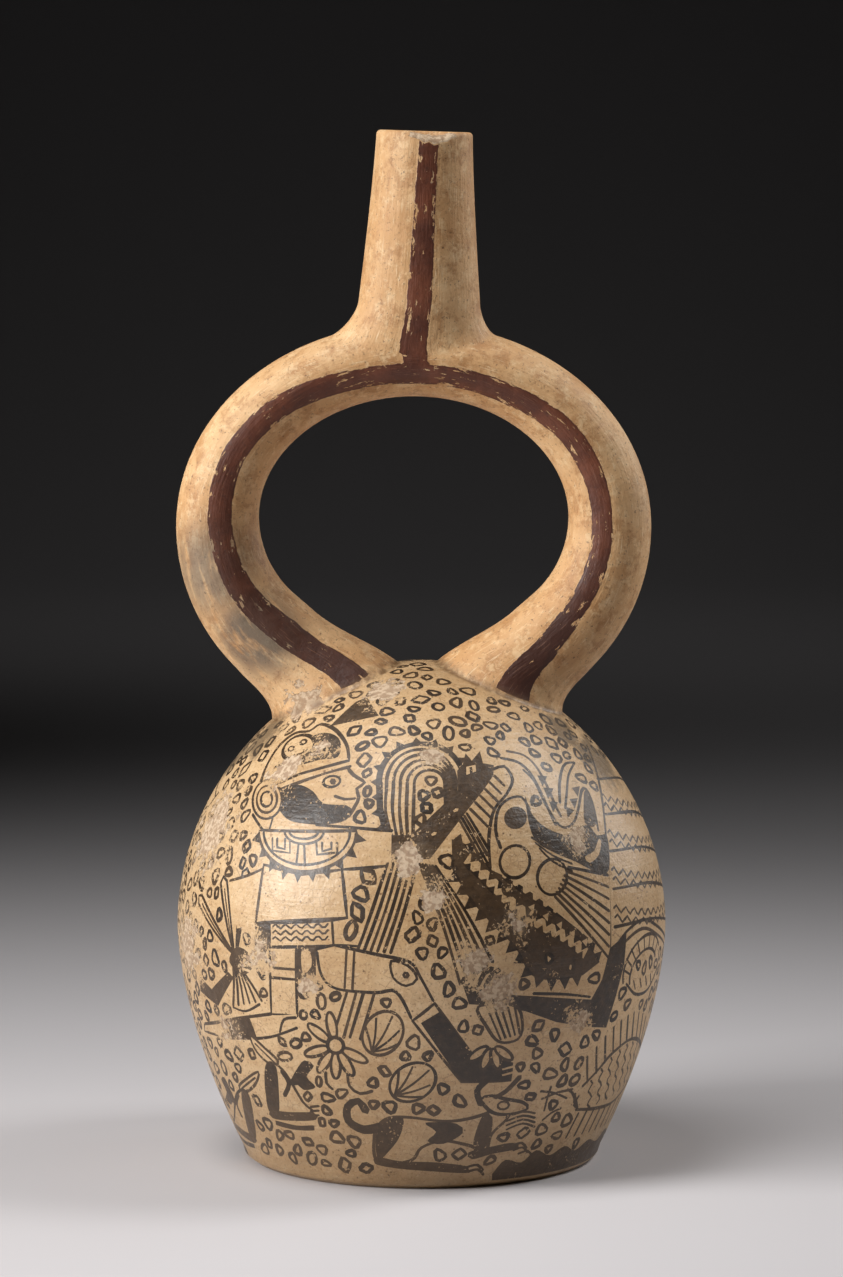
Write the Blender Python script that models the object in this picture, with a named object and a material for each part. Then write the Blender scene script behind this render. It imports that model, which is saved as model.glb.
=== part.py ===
"""A stirrup spout vessel: one hollow piece of fired clay, with a round chamber, a tube that loops
over it like a stirrup, and a tapered spout on the top of the loop.

Metres, +Z up. The origin is the centre of the flat foot. The loop lies in the XZ plane, and -Y is
the front. Sizes below are in millimetres, and MM turns them into metres where a mesh is made.
"""

import math

import bmesh
import bpy
from mathutils import Vector

MM = 0.001

# Chamber: a dome over a belly that narrows to a flat foot
BELLY_RADIUS = 69.3
BELLY_HEIGHT = 67.0
CHAMBER_TOP = 141.5
DOME_POWER = 1.92
FOOT_RADIUS = 49.1
FLANK_POWER = 1.7
FOOT_EDGE = 3.5
CHAMBER_WALL = 5.0
FLOOR_THICKNESS = 6.0

# Stirrup: half an ellipse over two legs that bend in towards the dome
STIRRUP_SHIFT = -2.2
STIRRUP_CENTRE_HEIGHT = 181.0
STIRRUP_HALF_SPAN = 55.3
STIRRUP_RISE = 45.6
LEG_BEND_RADIUS = 42.5
LEG_BEND = math.radians(46.0)
LEG_RUN = 5.0
TUBE_RADIUS_TOP = 10.3
TUBE_RADIUS_LEG = 13.5
TUBE_GROWTH_POWER = 2.1
TUBE_DEPTH_TOP = 12.0
TUBE_WALL = 4.2

# Where each leg's flare meets the dome, seen from above
FEET_SHIFT = -1.2
LEG_FOOT_OFFSET = 23.3
LEG_FOOT_HALF_LENGTH = 18.7
LEG_FOOT_HALF_DEPTH = 19.5
FLARE_SLOPE = math.radians(45.0)

# Spout: a leaning cone that flares into the top of the stirrup
HEIGHT = 291.0
SPOUT_LEAN = math.radians(1.8)
SPOUT_TOP_SHIFT = 0.9
RIM_RADIUS = 13.5
RIM_LIP = 0.7
SPOUT_BASE_RADIUS = 17.0
SPOUT_BASE_DEPTH = 12.8
SPOUT_FLARE_RISE = 7.1
SPOUT_TAPER_POWER = 1.25
SPOUT_FOOT_ANGLE = math.radians(21.0)
SPOUT_FOOT_WRAP = math.radians(80.0)
RIM_WALL = 3.4

# A worn scoop in the front of the rim
CHIP_WIDTH = 14.0
CHIP_DEPTH = 1.8
CHIP_SHIFT = 0.8

# Facets
CHAMBER_SEGMENTS = 56
CHAMBER_BORE_SEGMENTS = 40
DOME_STEPS = 13
FLANK_STEPS = 9
EDGE_STEPS = 3
TUBE_SIDES = 24
TUBE_BORE_SIDES = 16
TUBE_STEPS_UPPER = 9
TUBE_STEPS_LOWER = 5
FLARE_STEPS = 5
SPOUT_SIDES = 28
SPOUT_STEPS = 5
CHIP_SEGMENTS = 16

# How far a shape reaches into its neighbour before the two are joined, and past a wall that it cuts
OVERLAP = 1.0
ROOT_DEPTH = 4.0
CUT_PAST = 3.0

CLAY_COLOUR = (0.62, 0.46, 0.28, 1.0)
CLAY_ROUGHNESS = 0.6


def chamber_profile(inset, floor, top):
    """The chamber's outline as (radius, height) from the top of the dome down to the floor.

    Each wall face uses the same curve, moved in by inset.
    """
    belly = BELLY_RADIUS - inset
    foot = FOOT_RADIUS - inset
    outline = []
    for step in range(DOME_STEPS + 1):
        turn = math.pi / 2 * (1 - step / DOME_STEPS)
        radius = belly * max(math.cos(turn), 0.0) ** (2 / DOME_POWER)
        rise = (top - BELLY_HEIGHT) * math.sin(turn) ** (2 / DOME_POWER)
        outline.append((radius if step else 0.0, BELLY_HEIGHT + rise))
    edge_height = floor + FOOT_EDGE
    for step in range(1, FLANK_STEPS + 1):
        height = BELLY_HEIGHT + (edge_height - BELLY_HEIGHT) * step / FLANK_STEPS
        drop = (BELLY_HEIGHT - height) / BELLY_HEIGHT
        outline.append((belly - (belly - foot) * drop**FLANK_POWER, height))
    edge_centre = outline[-1][0] - FOOT_EDGE
    for step in range(1, EDGE_STEPS + 1):
        turn = math.pi / 2 * step / EDGE_STEPS
        outline.append(
            (edge_centre + FOOT_EDGE * math.cos(turn), edge_height - FOOT_EDGE * math.sin(turn))
        )
    outline.append((0.0, floor))
    return outline


def dome_point(x, y):
    """The point of the dome's outside above (x, y)."""
    share = min(math.hypot(x, y) / BELLY_RADIUS, 1.0)
    rise = (CHAMBER_TOP - BELLY_HEIGHT) * (1 - share**DOME_POWER) ** (1 / DOME_POWER)
    return Vector((x, y, BELLY_HEIGHT + rise))


def dome_normal(point):
    """The outward direction of the dome at one of its points."""
    rise = (CHAMBER_TOP - BELLY_HEIGHT) ** DOME_POWER
    belly = BELLY_RADIUS**DOME_POWER
    radius = math.hypot(point.x, point.y)
    sideways = radius ** (DOME_POWER - 1) / belly
    upwards = (point.z - BELLY_HEIGHT) ** (DOME_POWER - 1) / rise
    return Vector(
        (sideways * point.x / radius, sideways * point.y / radius, upwards)
    ).normalized()


def hermite(start, end, leave, arrive, share):
    """A point on the cubic curve from start to end with the given end directions."""
    s2, s3 = share**2, share**3
    return (
        start * (2 * s3 - 3 * s2 + 1)
        + leave * (s3 - 2 * s2 + share)
        + end * (3 * s2 - 2 * s3)
        + arrive * (s3 - s2)
    )


class Station:
    """A cross-section of the stirrup's tube: its centre, its outward direction in the XZ plane, and
    its two half-widths. side is 1 for the right half of the stirrup and -1 for the left."""

    def __init__(self, side, across, height, outward, share):
        self.side = side
        self.centre = Vector((STIRRUP_SHIFT + side * across, 0, height))
        self.outward = Vector((side * outward[0], 0, outward[1]))
        growth = (TUBE_RADIUS_LEG - TUBE_RADIUS_TOP) * share**TUBE_GROWTH_POWER
        self.radius = TUBE_RADIUS_TOP + growth
        self.depth = max(TUBE_DEPTH_TOP, self.radius)

    def along(self):
        """The direction down the leg."""
        return Vector((self.side * self.outward.z, 0, -abs(self.outward.x)))

    def point(self, turn, inset=0.0):
        """The point of the tube's surface at an angle from its outward side, turning towards +Y."""
        sideways = Vector((0, (self.depth - inset) * math.sin(turn), 0))
        return self.centre + self.outward * (self.radius - inset) * math.cos(turn) + sideways


def ellipse_quarter_length():
    """The length of the stirrup's centreline from its top to its widest point."""
    a, b = STIRRUP_HALF_SPAN, STIRRUP_RISE
    return math.pi / 4 * (3 * (a + b) - math.sqrt((3 * a + b) * (a + 3 * b)))


def leg_length():
    return ellipse_quarter_length() + LEG_BEND_RADIUS * LEG_BEND + LEG_RUN


def upper_station(angle):
    """The tube's section at an angle from the stirrup's top, measured on its ellipse. Negative angles
    are on the left half."""
    side = -1 if angle < 0 else 1
    turn = abs(angle)
    across = STIRRUP_HALF_SPAN * math.sin(turn)
    height = STIRRUP_CENTRE_HEIGHT + STIRRUP_RISE * math.cos(turn)
    outward = Vector((STIRRUP_RISE * math.sin(turn), STIRRUP_HALF_SPAN * math.cos(turn))).normalized()
    share = turn / (math.pi / 2) * ellipse_quarter_length() / leg_length()
    return Station(side, across, height, outward, share)


def lower_station(side, share_of_bend):
    """The tube's section in the bend below the stirrup's widest point."""
    turn = LEG_BEND * share_of_bend
    across = STIRRUP_HALF_SPAN - LEG_BEND_RADIUS * (1 - math.cos(turn))
    height = STIRRUP_CENTRE_HEIGHT - LEG_BEND_RADIUS * math.sin(turn)
    share = (ellipse_quarter_length() + LEG_BEND_RADIUS * turn) / leg_length()
    return Station(side, across, height, (math.cos(turn), -math.sin(turn)), share)


def straight_station(side, run):
    """The tube's section a length down the straight leg below the bend."""
    across = STIRRUP_HALF_SPAN - LEG_BEND_RADIUS * (1 - math.cos(LEG_BEND))
    height = STIRRUP_CENTRE_HEIGHT - LEG_BEND_RADIUS * math.sin(LEG_BEND)
    across -= run * math.sin(LEG_BEND)
    height -= run * math.cos(LEG_BEND)
    share = min((leg_length() - LEG_RUN + run) / leg_length(), 1.0)
    return Station(side, across, height, (math.cos(LEG_BEND), -math.sin(LEG_BEND)), share)


def leg_stations(side):
    """The sections of one half of the stirrup, from just past its top down to the flare."""
    upper = [
        upper_station(side * math.pi / 2 * step / TUBE_STEPS_UPPER)
        for step in range(1, TUBE_STEPS_UPPER + 1)
    ]
    lower = [
        lower_station(side, step / TUBE_STEPS_LOWER) for step in range(1, TUBE_STEPS_LOWER + 1)
    ]
    return upper + lower + [straight_station(side, LEG_RUN)]


def leg_foot_point(side, turn):
    """A point of the closed line where a leg's flare meets the dome."""
    across = LEG_FOOT_OFFSET + LEG_FOOT_HALF_LENGTH * math.cos(turn)
    return dome_point(FEET_SHIFT + side * across, LEG_FOOT_HALF_DEPTH * math.sin(turn))


def flare_rings(side, sides):
    """The rings that widen a leg's end to its foot on the dome, then reach a little into the dome."""
    start = straight_station(side, LEG_RUN)
    foot_centre = dome_point(FEET_SHIFT + side * LEG_FOOT_OFFSET, 0)
    turns = [2 * math.pi * k / sides for k in range(sides)]
    rings = []
    for step in range(1, FLARE_STEPS + 1):
        ring = []
        for turn in turns:
            foot = leg_foot_point(side, turn)
            normal = dome_normal(foot)
            away = foot - foot_centre
            away = (away - normal * away.dot(normal)).normalized()
            arrive = away * math.cos(FLARE_SLOPE) - normal * math.sin(FLARE_SLOPE)
            top = start.point(turn)
            end = foot - normal * OVERLAP
            reach = (end - top).length
            ring.append(
                hermite(top, end, start.along() * reach, arrive * reach, step / FLARE_STEPS)
            )
        rings.append(ring)
    root = [point - dome_normal(foot_centre) * ROOT_DEPTH for point in rings[-1]]
    rings.append([point.lerp(foot_centre, 0.15) for point in root])
    return rings


def stirrup_rings():
    """Every ring of the stirrup's outside, from the left foot over the top to the right foot."""
    turns = [2 * math.pi * k / TUBE_SIDES for k in range(TUBE_SIDES)]
    halves = []
    for side in (-1, 1):
        rings = [[station.point(turn) for turn in turns] for station in leg_stations(side)]
        halves.append(rings + flare_rings(side, TUBE_SIDES))
    top = [upper_station(0.0).point(turn) for turn in turns]
    return halves[0][::-1] + [top] + halves[1]


def stirrup_bore_rings():
    """The rings of the stirrup's bore, which ends in the chamber at both feet."""
    turns = [2 * math.pi * k / TUBE_BORE_SIDES for k in range(TUBE_BORE_SIDES)]
    wall_crossing = LEG_RUN + LEG_FOOT_HALF_LENGTH + CHAMBER_WALL
    halves = []
    for side in (-1, 1):
        stations = leg_stations(side) + [straight_station(side, wall_crossing)]
        halves.append([[station.point(turn, TUBE_WALL) for turn in turns] for station in stations])
    top = [upper_station(0.0).point(turn, TUBE_WALL) for turn in turns]
    return halves[0][::-1] + [top] + halves[1]


def spout_length():
    """The length of the plain cone, from the rim down to its flare over the stirrup."""
    stirrup_top = STIRRUP_CENTRE_HEIGHT + STIRRUP_RISE + TUBE_RADIUS_TOP
    return HEIGHT - stirrup_top - SPOUT_FLARE_RISE


def spout_axis():
    """The spout's downward direction."""
    return Vector((-math.sin(SPOUT_LEAN), 0, -math.cos(SPOUT_LEAN)))


def rim_centre():
    """The rim's centre. Its plane leans with the spout, and its high side reaches HEIGHT."""
    return Vector((SPOUT_TOP_SHIFT, 0, HEIGHT - RIM_RADIUS * math.sin(SPOUT_LEAN)))


def spout_ring(down, across, depth, sides):
    """A ring of the spout at a distance below the rim."""
    right = Vector((math.cos(SPOUT_LEAN), 0, -math.sin(SPOUT_LEAN)))
    centre = rim_centre() + spout_axis() * down
    turns = [2 * math.pi * k / sides for k in range(sides)]
    return [
        centre + right * across * math.cos(turn) + Vector((0, depth * math.sin(turn), 0))
        for turn in turns
    ]


def stirrup_surface(reach, turn):
    """The stirrup's outside at a share of the way from its top centre to the spout's foot."""
    station = upper_station(reach * SPOUT_FOOT_ANGLE * math.cos(turn))
    return station.point(reach * SPOUT_FOOT_WRAP * math.sin(turn))


def spout_rings():
    """The spout's outside, from the rim down to its flared foot on the stirrup and into it."""
    rings = [spout_ring(0, RIM_RADIUS - RIM_LIP, RIM_RADIUS - RIM_LIP, SPOUT_SIDES)]
    for step in range(SPOUT_STEPS + 1):
        share = step / SPOUT_STEPS
        widening = share**SPOUT_TAPER_POWER
        across = RIM_RADIUS + (SPOUT_BASE_RADIUS - RIM_RADIUS) * widening
        depth = RIM_RADIUS + (SPOUT_BASE_DEPTH - RIM_RADIUS) * share
        rings.append(spout_ring(RIM_LIP + share * spout_length(), across, depth, SPOUT_SIDES))
    base = rings[-1]
    heart = upper_station(0.0).centre
    for step in range(1, FLARE_STEPS + 1):
        ring = []
        for k, top in enumerate(base):
            turn = 2 * math.pi * k / SPOUT_SIDES
            foot = stirrup_surface(1.0, turn)
            away = (foot - stirrup_surface(0.95, turn)).normalized()
            inward = (heart - foot).normalized()
            arrive = away * math.cos(FLARE_SLOPE) + inward * math.sin(FLARE_SLOPE)
            end = foot + inward * OVERLAP
            reach = (end - top).length
            ring.append(
                hermite(top, end, spout_axis() * reach, arrive * reach, step / FLARE_STEPS)
            )
        rings.append(ring)
    rings.append([point.lerp(heart, 0.35) for point in rings[-1]])
    return rings


def spout_bore_rings():
    """The spout's bore, from above the rim down to the middle of the stirrup's bore."""
    top_radius = RIM_RADIUS - RIM_WALL
    bottom_radius = TUBE_DEPTH_TOP - TUBE_WALL - OVERLAP / 2
    depth_of_bore = rim_centre().z - upper_station(0.0).centre.z
    return [
        spout_ring(-CUT_PAST, top_radius, top_radius, TUBE_BORE_SIDES),
        spout_ring(0, top_radius, top_radius, TUBE_BORE_SIDES),
        spout_ring(spout_length(), bottom_radius + OVERLAP, bottom_radius + OVERLAP, TUBE_BORE_SIDES),
        spout_ring(depth_of_bore, bottom_radius, bottom_radius, TUBE_BORE_SIDES),
    ]


def clear_scene():
    for leftover in list(bpy.data.objects):
        bpy.data.objects.remove(leftover)


def object_from(name, work_mesh):
    """A new object in the scene, made from a bmesh whose sizes are in millimetres."""
    bmesh.ops.recalc_face_normals(work_mesh, faces=work_mesh.faces)
    bmesh.ops.scale(work_mesh, vec=(MM, MM, MM), verts=work_mesh.verts)
    mesh = bpy.data.meshes.new(name)
    work_mesh.to_mesh(mesh)
    work_mesh.free()
    made = bpy.data.objects.new(name, mesh)
    bpy.context.scene.collection.objects.link(made)
    return made


def lathe(name, outline, segments):
    """A closed solid turned round Z from an outline that starts and ends on the axis."""
    work_mesh = bmesh.new()
    verts = [work_mesh.verts.new((radius, 0, height)) for radius, height in outline]
    edges = [work_mesh.edges.new(pair) for pair in zip(verts, verts[1:])]
    bmesh.ops.spin(
        work_mesh, geom=verts + edges, axis=(0, 0, 1), cent=(0, 0, 0), angle=2 * math.pi,
        steps=segments, use_merge=True,
    )
    bmesh.ops.remove_doubles(work_mesh, verts=work_mesh.verts, dist=0.01)
    return object_from(name, work_mesh)


def loft(name, rings):
    """A closed solid through rings of points, with a flat cap on each end ring."""
    work_mesh = bmesh.new()
    loops = [[work_mesh.verts.new(point) for point in ring] for ring in rings]
    for above, below in zip(loops, loops[1:]):
        for k in range(len(above)):
            after = (k + 1) % len(above)
            work_mesh.faces.new((above[k], above[after], below[after], below[k]))
    work_mesh.faces.new(loops[0])
    work_mesh.faces.new(loops[-1])
    return object_from(name, work_mesh)


def chip_cutter():
    """A ball that scoops the front of the rim to the chip's width and depth."""
    radius = ((CHIP_WIDTH / 2) ** 2 + CHIP_DEPTH**2) / (2 * CHIP_DEPTH)
    work_mesh = bmesh.new()
    bmesh.ops.create_uvsphere(
        work_mesh, u_segments=CHIP_SEGMENTS, v_segments=CHIP_SEGMENTS, radius=radius
    )
    centre = rim_centre() + Vector((CHIP_SHIFT, -RIM_RADIUS, radius - CHIP_DEPTH))
    bmesh.ops.translate(work_mesh, vec=centre, verts=work_mesh.verts)
    return object_from("rim_chip_cutter", work_mesh)


def combine(target, other, operation):
    """Joins other to target, or cuts it away, and keeps other out of the model."""
    modifier = target.modifiers.new(other.name, "BOOLEAN")
    modifier.operation = operation
    modifier.object = other
    other.hide_render = True
    other.display_type = "WIRE"


def clay_material():
    material = bpy.data.materials.new("fired_clay")
    material.use_nodes = True
    shader = material.node_tree.nodes["Principled BSDF"]
    shader.inputs["Base Color"].default_value = CLAY_COLOUR
    shader.inputs["Roughness"].default_value = CLAY_ROUGHNESS
    shader.inputs["Metallic"].default_value = 0.0
    return material


def main():
    clear_scene()
    vessel = lathe("vessel", chamber_profile(0.0, 0.0, CHAMBER_TOP), CHAMBER_SEGMENTS)
    combine(vessel, loft("stirrup_outside", stirrup_rings()), "UNION")
    combine(vessel, loft("spout_outside", spout_rings()), "UNION")
    chamber_hollow = chamber_profile(CHAMBER_WALL, FLOOR_THICKNESS, CHAMBER_TOP - CHAMBER_WALL)
    combine(vessel, lathe("chamber_hollow", chamber_hollow, CHAMBER_BORE_SEGMENTS), "DIFFERENCE")
    combine(vessel, loft("stirrup_bore", stirrup_bore_rings()), "DIFFERENCE")
    combine(vessel, loft("spout_bore", spout_bore_rings()), "DIFFERENCE")
    combine(vessel, chip_cutter(), "DIFFERENCE")
    vessel.data.materials.append(clay_material())
    vessel.data.shade_smooth()


main()
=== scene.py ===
"""The looks of a stirrup spout vessel: a smooth skin of slipped and burnished clay, whose fine-line
painting is cut into the skin's faces, so that every stroke lies flush and keeps a crisp edge.

Lengths are in millimetres until a mesh is made. -Y is the front. The chamber is drawn on in a flat
map: x runs round it and y runs up its side, both in millimetres on the surface.
"""

import math
import random

import bpy
import numpy as np
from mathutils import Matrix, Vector
from mathutils.geometry import delaunay_2d_cdt
from mathutils.kdtree import KDTree


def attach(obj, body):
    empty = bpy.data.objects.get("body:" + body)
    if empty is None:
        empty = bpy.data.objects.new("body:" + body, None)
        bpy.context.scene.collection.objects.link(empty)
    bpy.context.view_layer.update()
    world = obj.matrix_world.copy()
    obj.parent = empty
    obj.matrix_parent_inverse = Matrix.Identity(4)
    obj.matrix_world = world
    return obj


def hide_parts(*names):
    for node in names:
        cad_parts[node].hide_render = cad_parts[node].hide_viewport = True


MM = 0.001
TAU = 2 * math.pi

# The solid's own sizes
BELLY_RADIUS = 69.3
BELLY_HEIGHT = 67.0
CHAMBER_TOP = 141.5
DOME_POWER = 1.92
FOOT_RADIUS = 49.1
FLANK_POWER = 1.7
FOOT_EDGE = 3.5
CHAMBER_WALL = 5.0
FLOOR_THICKNESS = 6.0
STIRRUP_SHIFT = -2.2
STIRRUP_CENTRE_HEIGHT = 181.0
STIRRUP_HALF_SPAN = 55.3
STIRRUP_RISE = 45.6
LEG_BEND_RADIUS = 42.5
LEG_BEND = math.radians(46.0)
LEG_RUN = 5.0
TUBE_RADIUS_TOP = 10.3
TUBE_RADIUS_LEG = 13.5
TUBE_GROWTH_POWER = 2.1
TUBE_DEPTH_TOP = 12.0
TUBE_WALL = 4.2
FEET_SHIFT = -1.2
LEG_FOOT_OFFSET = 23.3
FLARE_SLOPE = math.radians(45.0)
HEIGHT = 291.0
SPOUT_LEAN = math.radians(1.8)
SPOUT_TOP_SHIFT = 0.9
RIM_RADIUS = 13.5
SPOUT_BASE_RADIUS = 17.0
SPOUT_BASE_DEPTH = 12.8
SPOUT_FLARE_RISE = 7.1
SPOUT_TAPER_POWER = 1.25
SPOUT_FOOT_ANGLE = math.radians(21.0)
SPOUT_FOOT_WRAP = math.radians(80.0)
RIM_WALL = 3.4

# Where the flares reach the dome and the stirrup, how they arrive, and the unseen bore's foot
LEG_FOOT_HALF_LENGTH = 17.8
LEG_FOOT_HALF_DEPTH = 18.6
SPOUT_FLARE_SLOPE = math.radians(14.0)
BORE_FOOT_ANGLE = math.radians(8.0)
BORE_FOOT_WRAP = math.radians(62.0)

# The rounded lip, and the broken place on it, which is a little larger than the solid's
RIM_ROUNDING = 1.2
CHIP_WIDTH = 15.0
CHIP_DEPTH = 2.4
CHIP_SHIFT = 2.2

# The brown band at shares of each leg's length: its middle, in degrees round the tube, and half width
BAND_ON_LEFT = (
    (0, 0.15, 0.35, 0.5, 0.65, 0.8, 1, 1.12),
    (111, 107, 92, 89, 95, 101, 112, 114),
    (3.5, 3.6, 3.7, 3.6, 3.7, 3.8, 4.3, 4.6),
)
BAND_ON_RIGHT = (
    (0, 0.25, 0.4, 0.65, 0.9, 1, 1.12),
    (111, 109, 101, 103, 101, 94, 80),
    (3.5, 3.7, 3.5, 3.2, 3.1, 3.4, 5.0),
)

# The skin's facets
DOME_POINTS = 700
ARCH_POINTS = 300
FOOT_POINTS = 144
LEG_SIDES = 56
SPOUT_SIDES = 64
SKIN_STEP = 2.6
STIRRUP_STEP = 1.7
FLARE_STEPS = 14
SPOUT_STEPS = 34
UNDERSIDE_RIM = 6.0
INNER_STEP = 9.0
INNER_SIDES = 24
INNER_STEPS = 24
BORE_STEPS = 8
HOLLOW_POINTS = 40

# The rings of points round each leg on the chamber, what the even points keep clear of it, and how
# far from a leg's middle its crease is measured
LEG_RINGS = (0.7, 1.5, 2.5, 4.0)
LEG_CLEARANCE = 6.5
NEAR_LEG = 40.0

# What a point far from any crease or band keeps
NO_CREASE = 10.0
OFF_BAND = -10.0

# How far from the apex the flat map keeps its fine steps
NEAR_APEX = 2.0

# The unrolled map of the skin: its width, the flares' lengths on it, and how far the cap reaches
SHEET = 446.0
FLARE_RUN = 16
SPOUT_FLARE_RUN = 10.0
CAP_REACH = 46.0

# How near to a joint the skin's own curve gives way to its neighbours'
BLEND_CREASE = 4.0


# Shape of the walls


class ChamberWall:
    """One face of the chamber's wall, by the length along it from the apex (reach).

    It is laid flat round the apex so that small shapes keep their form. How far out a reach lies
    on that flat map is its spread.
    """

    def __init__(self, inset, floor, top):
        belly = BELLY_RADIUS - inset
        self.belly = belly
        self.rise = top - BELLY_HEIGHT
        turn = np.linspace(math.pi / 2, 0, DOME_POINTS)
        dome_radius = belly * np.maximum(np.cos(turn), 0) ** (2 / DOME_POWER)
        dome_height = BELLY_HEIGHT + self.rise * np.sin(turn) ** (2 / DOME_POWER)
        height = np.linspace(BELLY_HEIGHT, floor + FOOT_EDGE, 300)[1:]
        drop = (BELLY_HEIGHT - height) / BELLY_HEIGHT
        flank_radius = belly - (BELLY_RADIUS - FOOT_RADIUS) * drop**FLANK_POWER
        edge_turn = np.linspace(0, math.pi / 2, 30)[1:]
        edge_radius = flank_radius[-1] - FOOT_EDGE * (1 - np.cos(edge_turn))
        edge_height = floor + FOOT_EDGE * (1 - np.sin(edge_turn))
        end_radius = edge_radius[-1] - UNDERSIDE_RIM
        self.radii = np.concatenate([dome_radius, flank_radius, edge_radius, [end_radius]])
        self.heights = np.concatenate([dome_height, height, edge_height, [floor]])
        steps = np.hypot(np.diff(self.radii), np.diff(self.heights))
        self.reaches = np.concatenate([[0.0], np.cumsum(steps)])
        self.foot_reach = self.reaches[len(dome_radius) + len(flank_radius) - 1]
        self.length = self.reaches[-1]
        fine = np.linspace(1e-3, NEAR_APEX, 400)[:-1]
        self.fine_reach = np.concatenate([fine, np.arange(NEAR_APEX, self.length, 0.25)])
        growth = 1 / self.radius((self.fine_reach[1:] + self.fine_reach[:-1]) / 2)
        climb = np.concatenate([[0.0], np.cumsum(growth * np.diff(self.fine_reach))])
        near = np.searchsorted(self.fine_reach, NEAR_APEX)
        self.fine_spread = NEAR_APEX * np.exp(climb - climb[near])

    def radius(self, reach):
        return np.interp(reach, self.reaches, self.radii)

    def spread(self, reach):
        return np.interp(reach, self.fine_reach, self.fine_spread)

    def reach(self, flat):
        return np.interp(np.hypot(flat[:, 0], flat[:, 1]), self.fine_spread, self.fine_reach)

    def scale(self, flat):
        """How much larger the flat map is than the surface, at an array of flat points."""
        return np.hypot(flat[:, 0], flat[:, 1]) / self.radius(self.reach(flat))

    def surface(self, flat):
        """Points of the surface for an array of flat points."""
        reach = self.reach(flat)
        shrink = self.radius(reach) / np.maximum(np.hypot(flat[:, 0], flat[:, 1]), 1e-9)
        height = np.interp(reach, self.reaches, self.heights)
        return np.column_stack([flat[:, 0] * shrink, flat[:, 1] * shrink, height])

    def flat(self, x, y):
        """The flat point under (x, y), on the dome."""
        radius = math.hypot(x, y)
        spread = self.spread(np.interp(radius, self.radii[:DOME_POINTS], self.reaches[:DOME_POINTS]))
        return (x * spread / radius, y * spread / radius)

    def normals(self, flat):
        """The outward directions at an array of flat points."""
        reach = self.reach(flat)
        before, after = np.maximum(reach - 0.4, 0), np.minimum(reach + 0.4, self.length)
        out = -np.diff([np.interp(k, self.reaches, self.heights) for k in (before, after)], axis=0)[0]
        up = self.radius(after) - self.radius(before)
        aside = flat / np.maximum(np.hypot(flat[:, 0], flat[:, 1]), 1e-9)[:, None]
        direction = np.column_stack([aside * out[:, None], up])
        return direction / np.linalg.norm(direction, axis=1, keepdims=True)

    def dome_point(self, x, y):
        share = min(math.hypot(x, y) / self.belly, 1.0)
        rise = self.rise * (1 - share**DOME_POWER) ** (1 / DOME_POWER)
        return Vector((x, y, BELLY_HEIGHT + rise))

    def holds(self, point):
        """Whether a point above the belly is inside the dome."""
        share = math.hypot(point.x, point.y) / self.belly
        return share**DOME_POWER + ((point.z - BELLY_HEIGHT) / self.rise) ** DOME_POWER < 1


OUTER_WALL = ChamberWall(0.0, 0.0, CHAMBER_TOP)
INNER_WALL = ChamberWall(CHAMBER_WALL, FLOOR_THICKNESS, CHAMBER_TOP - CHAMBER_WALL)


def dome_normal(point):
    """The outward direction of the dome at one of its points."""
    rise = (CHAMBER_TOP - BELLY_HEIGHT) ** DOME_POWER
    radius = math.hypot(point.x, point.y)
    sideways = radius ** (DOME_POWER - 1) / BELLY_RADIUS**DOME_POWER
    upwards = (point.z - BELLY_HEIGHT) ** (DOME_POWER - 1) / rise
    return Vector((sideways * point.x / radius, sideways * point.y / radius, upwards)).normalized()


def hermite(start, end, leave, arrive, share):
    """A point on the cubic curve from start to end with the given end directions."""
    s2, s3 = share**2, share**3
    leaving = start * (2 * s3 - 3 * s2 + 1) + leave * (s3 - 2 * s2 + share)
    return leaving + end * (3 * s2 - 2 * s3) + arrive * (s3 - s2)


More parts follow.
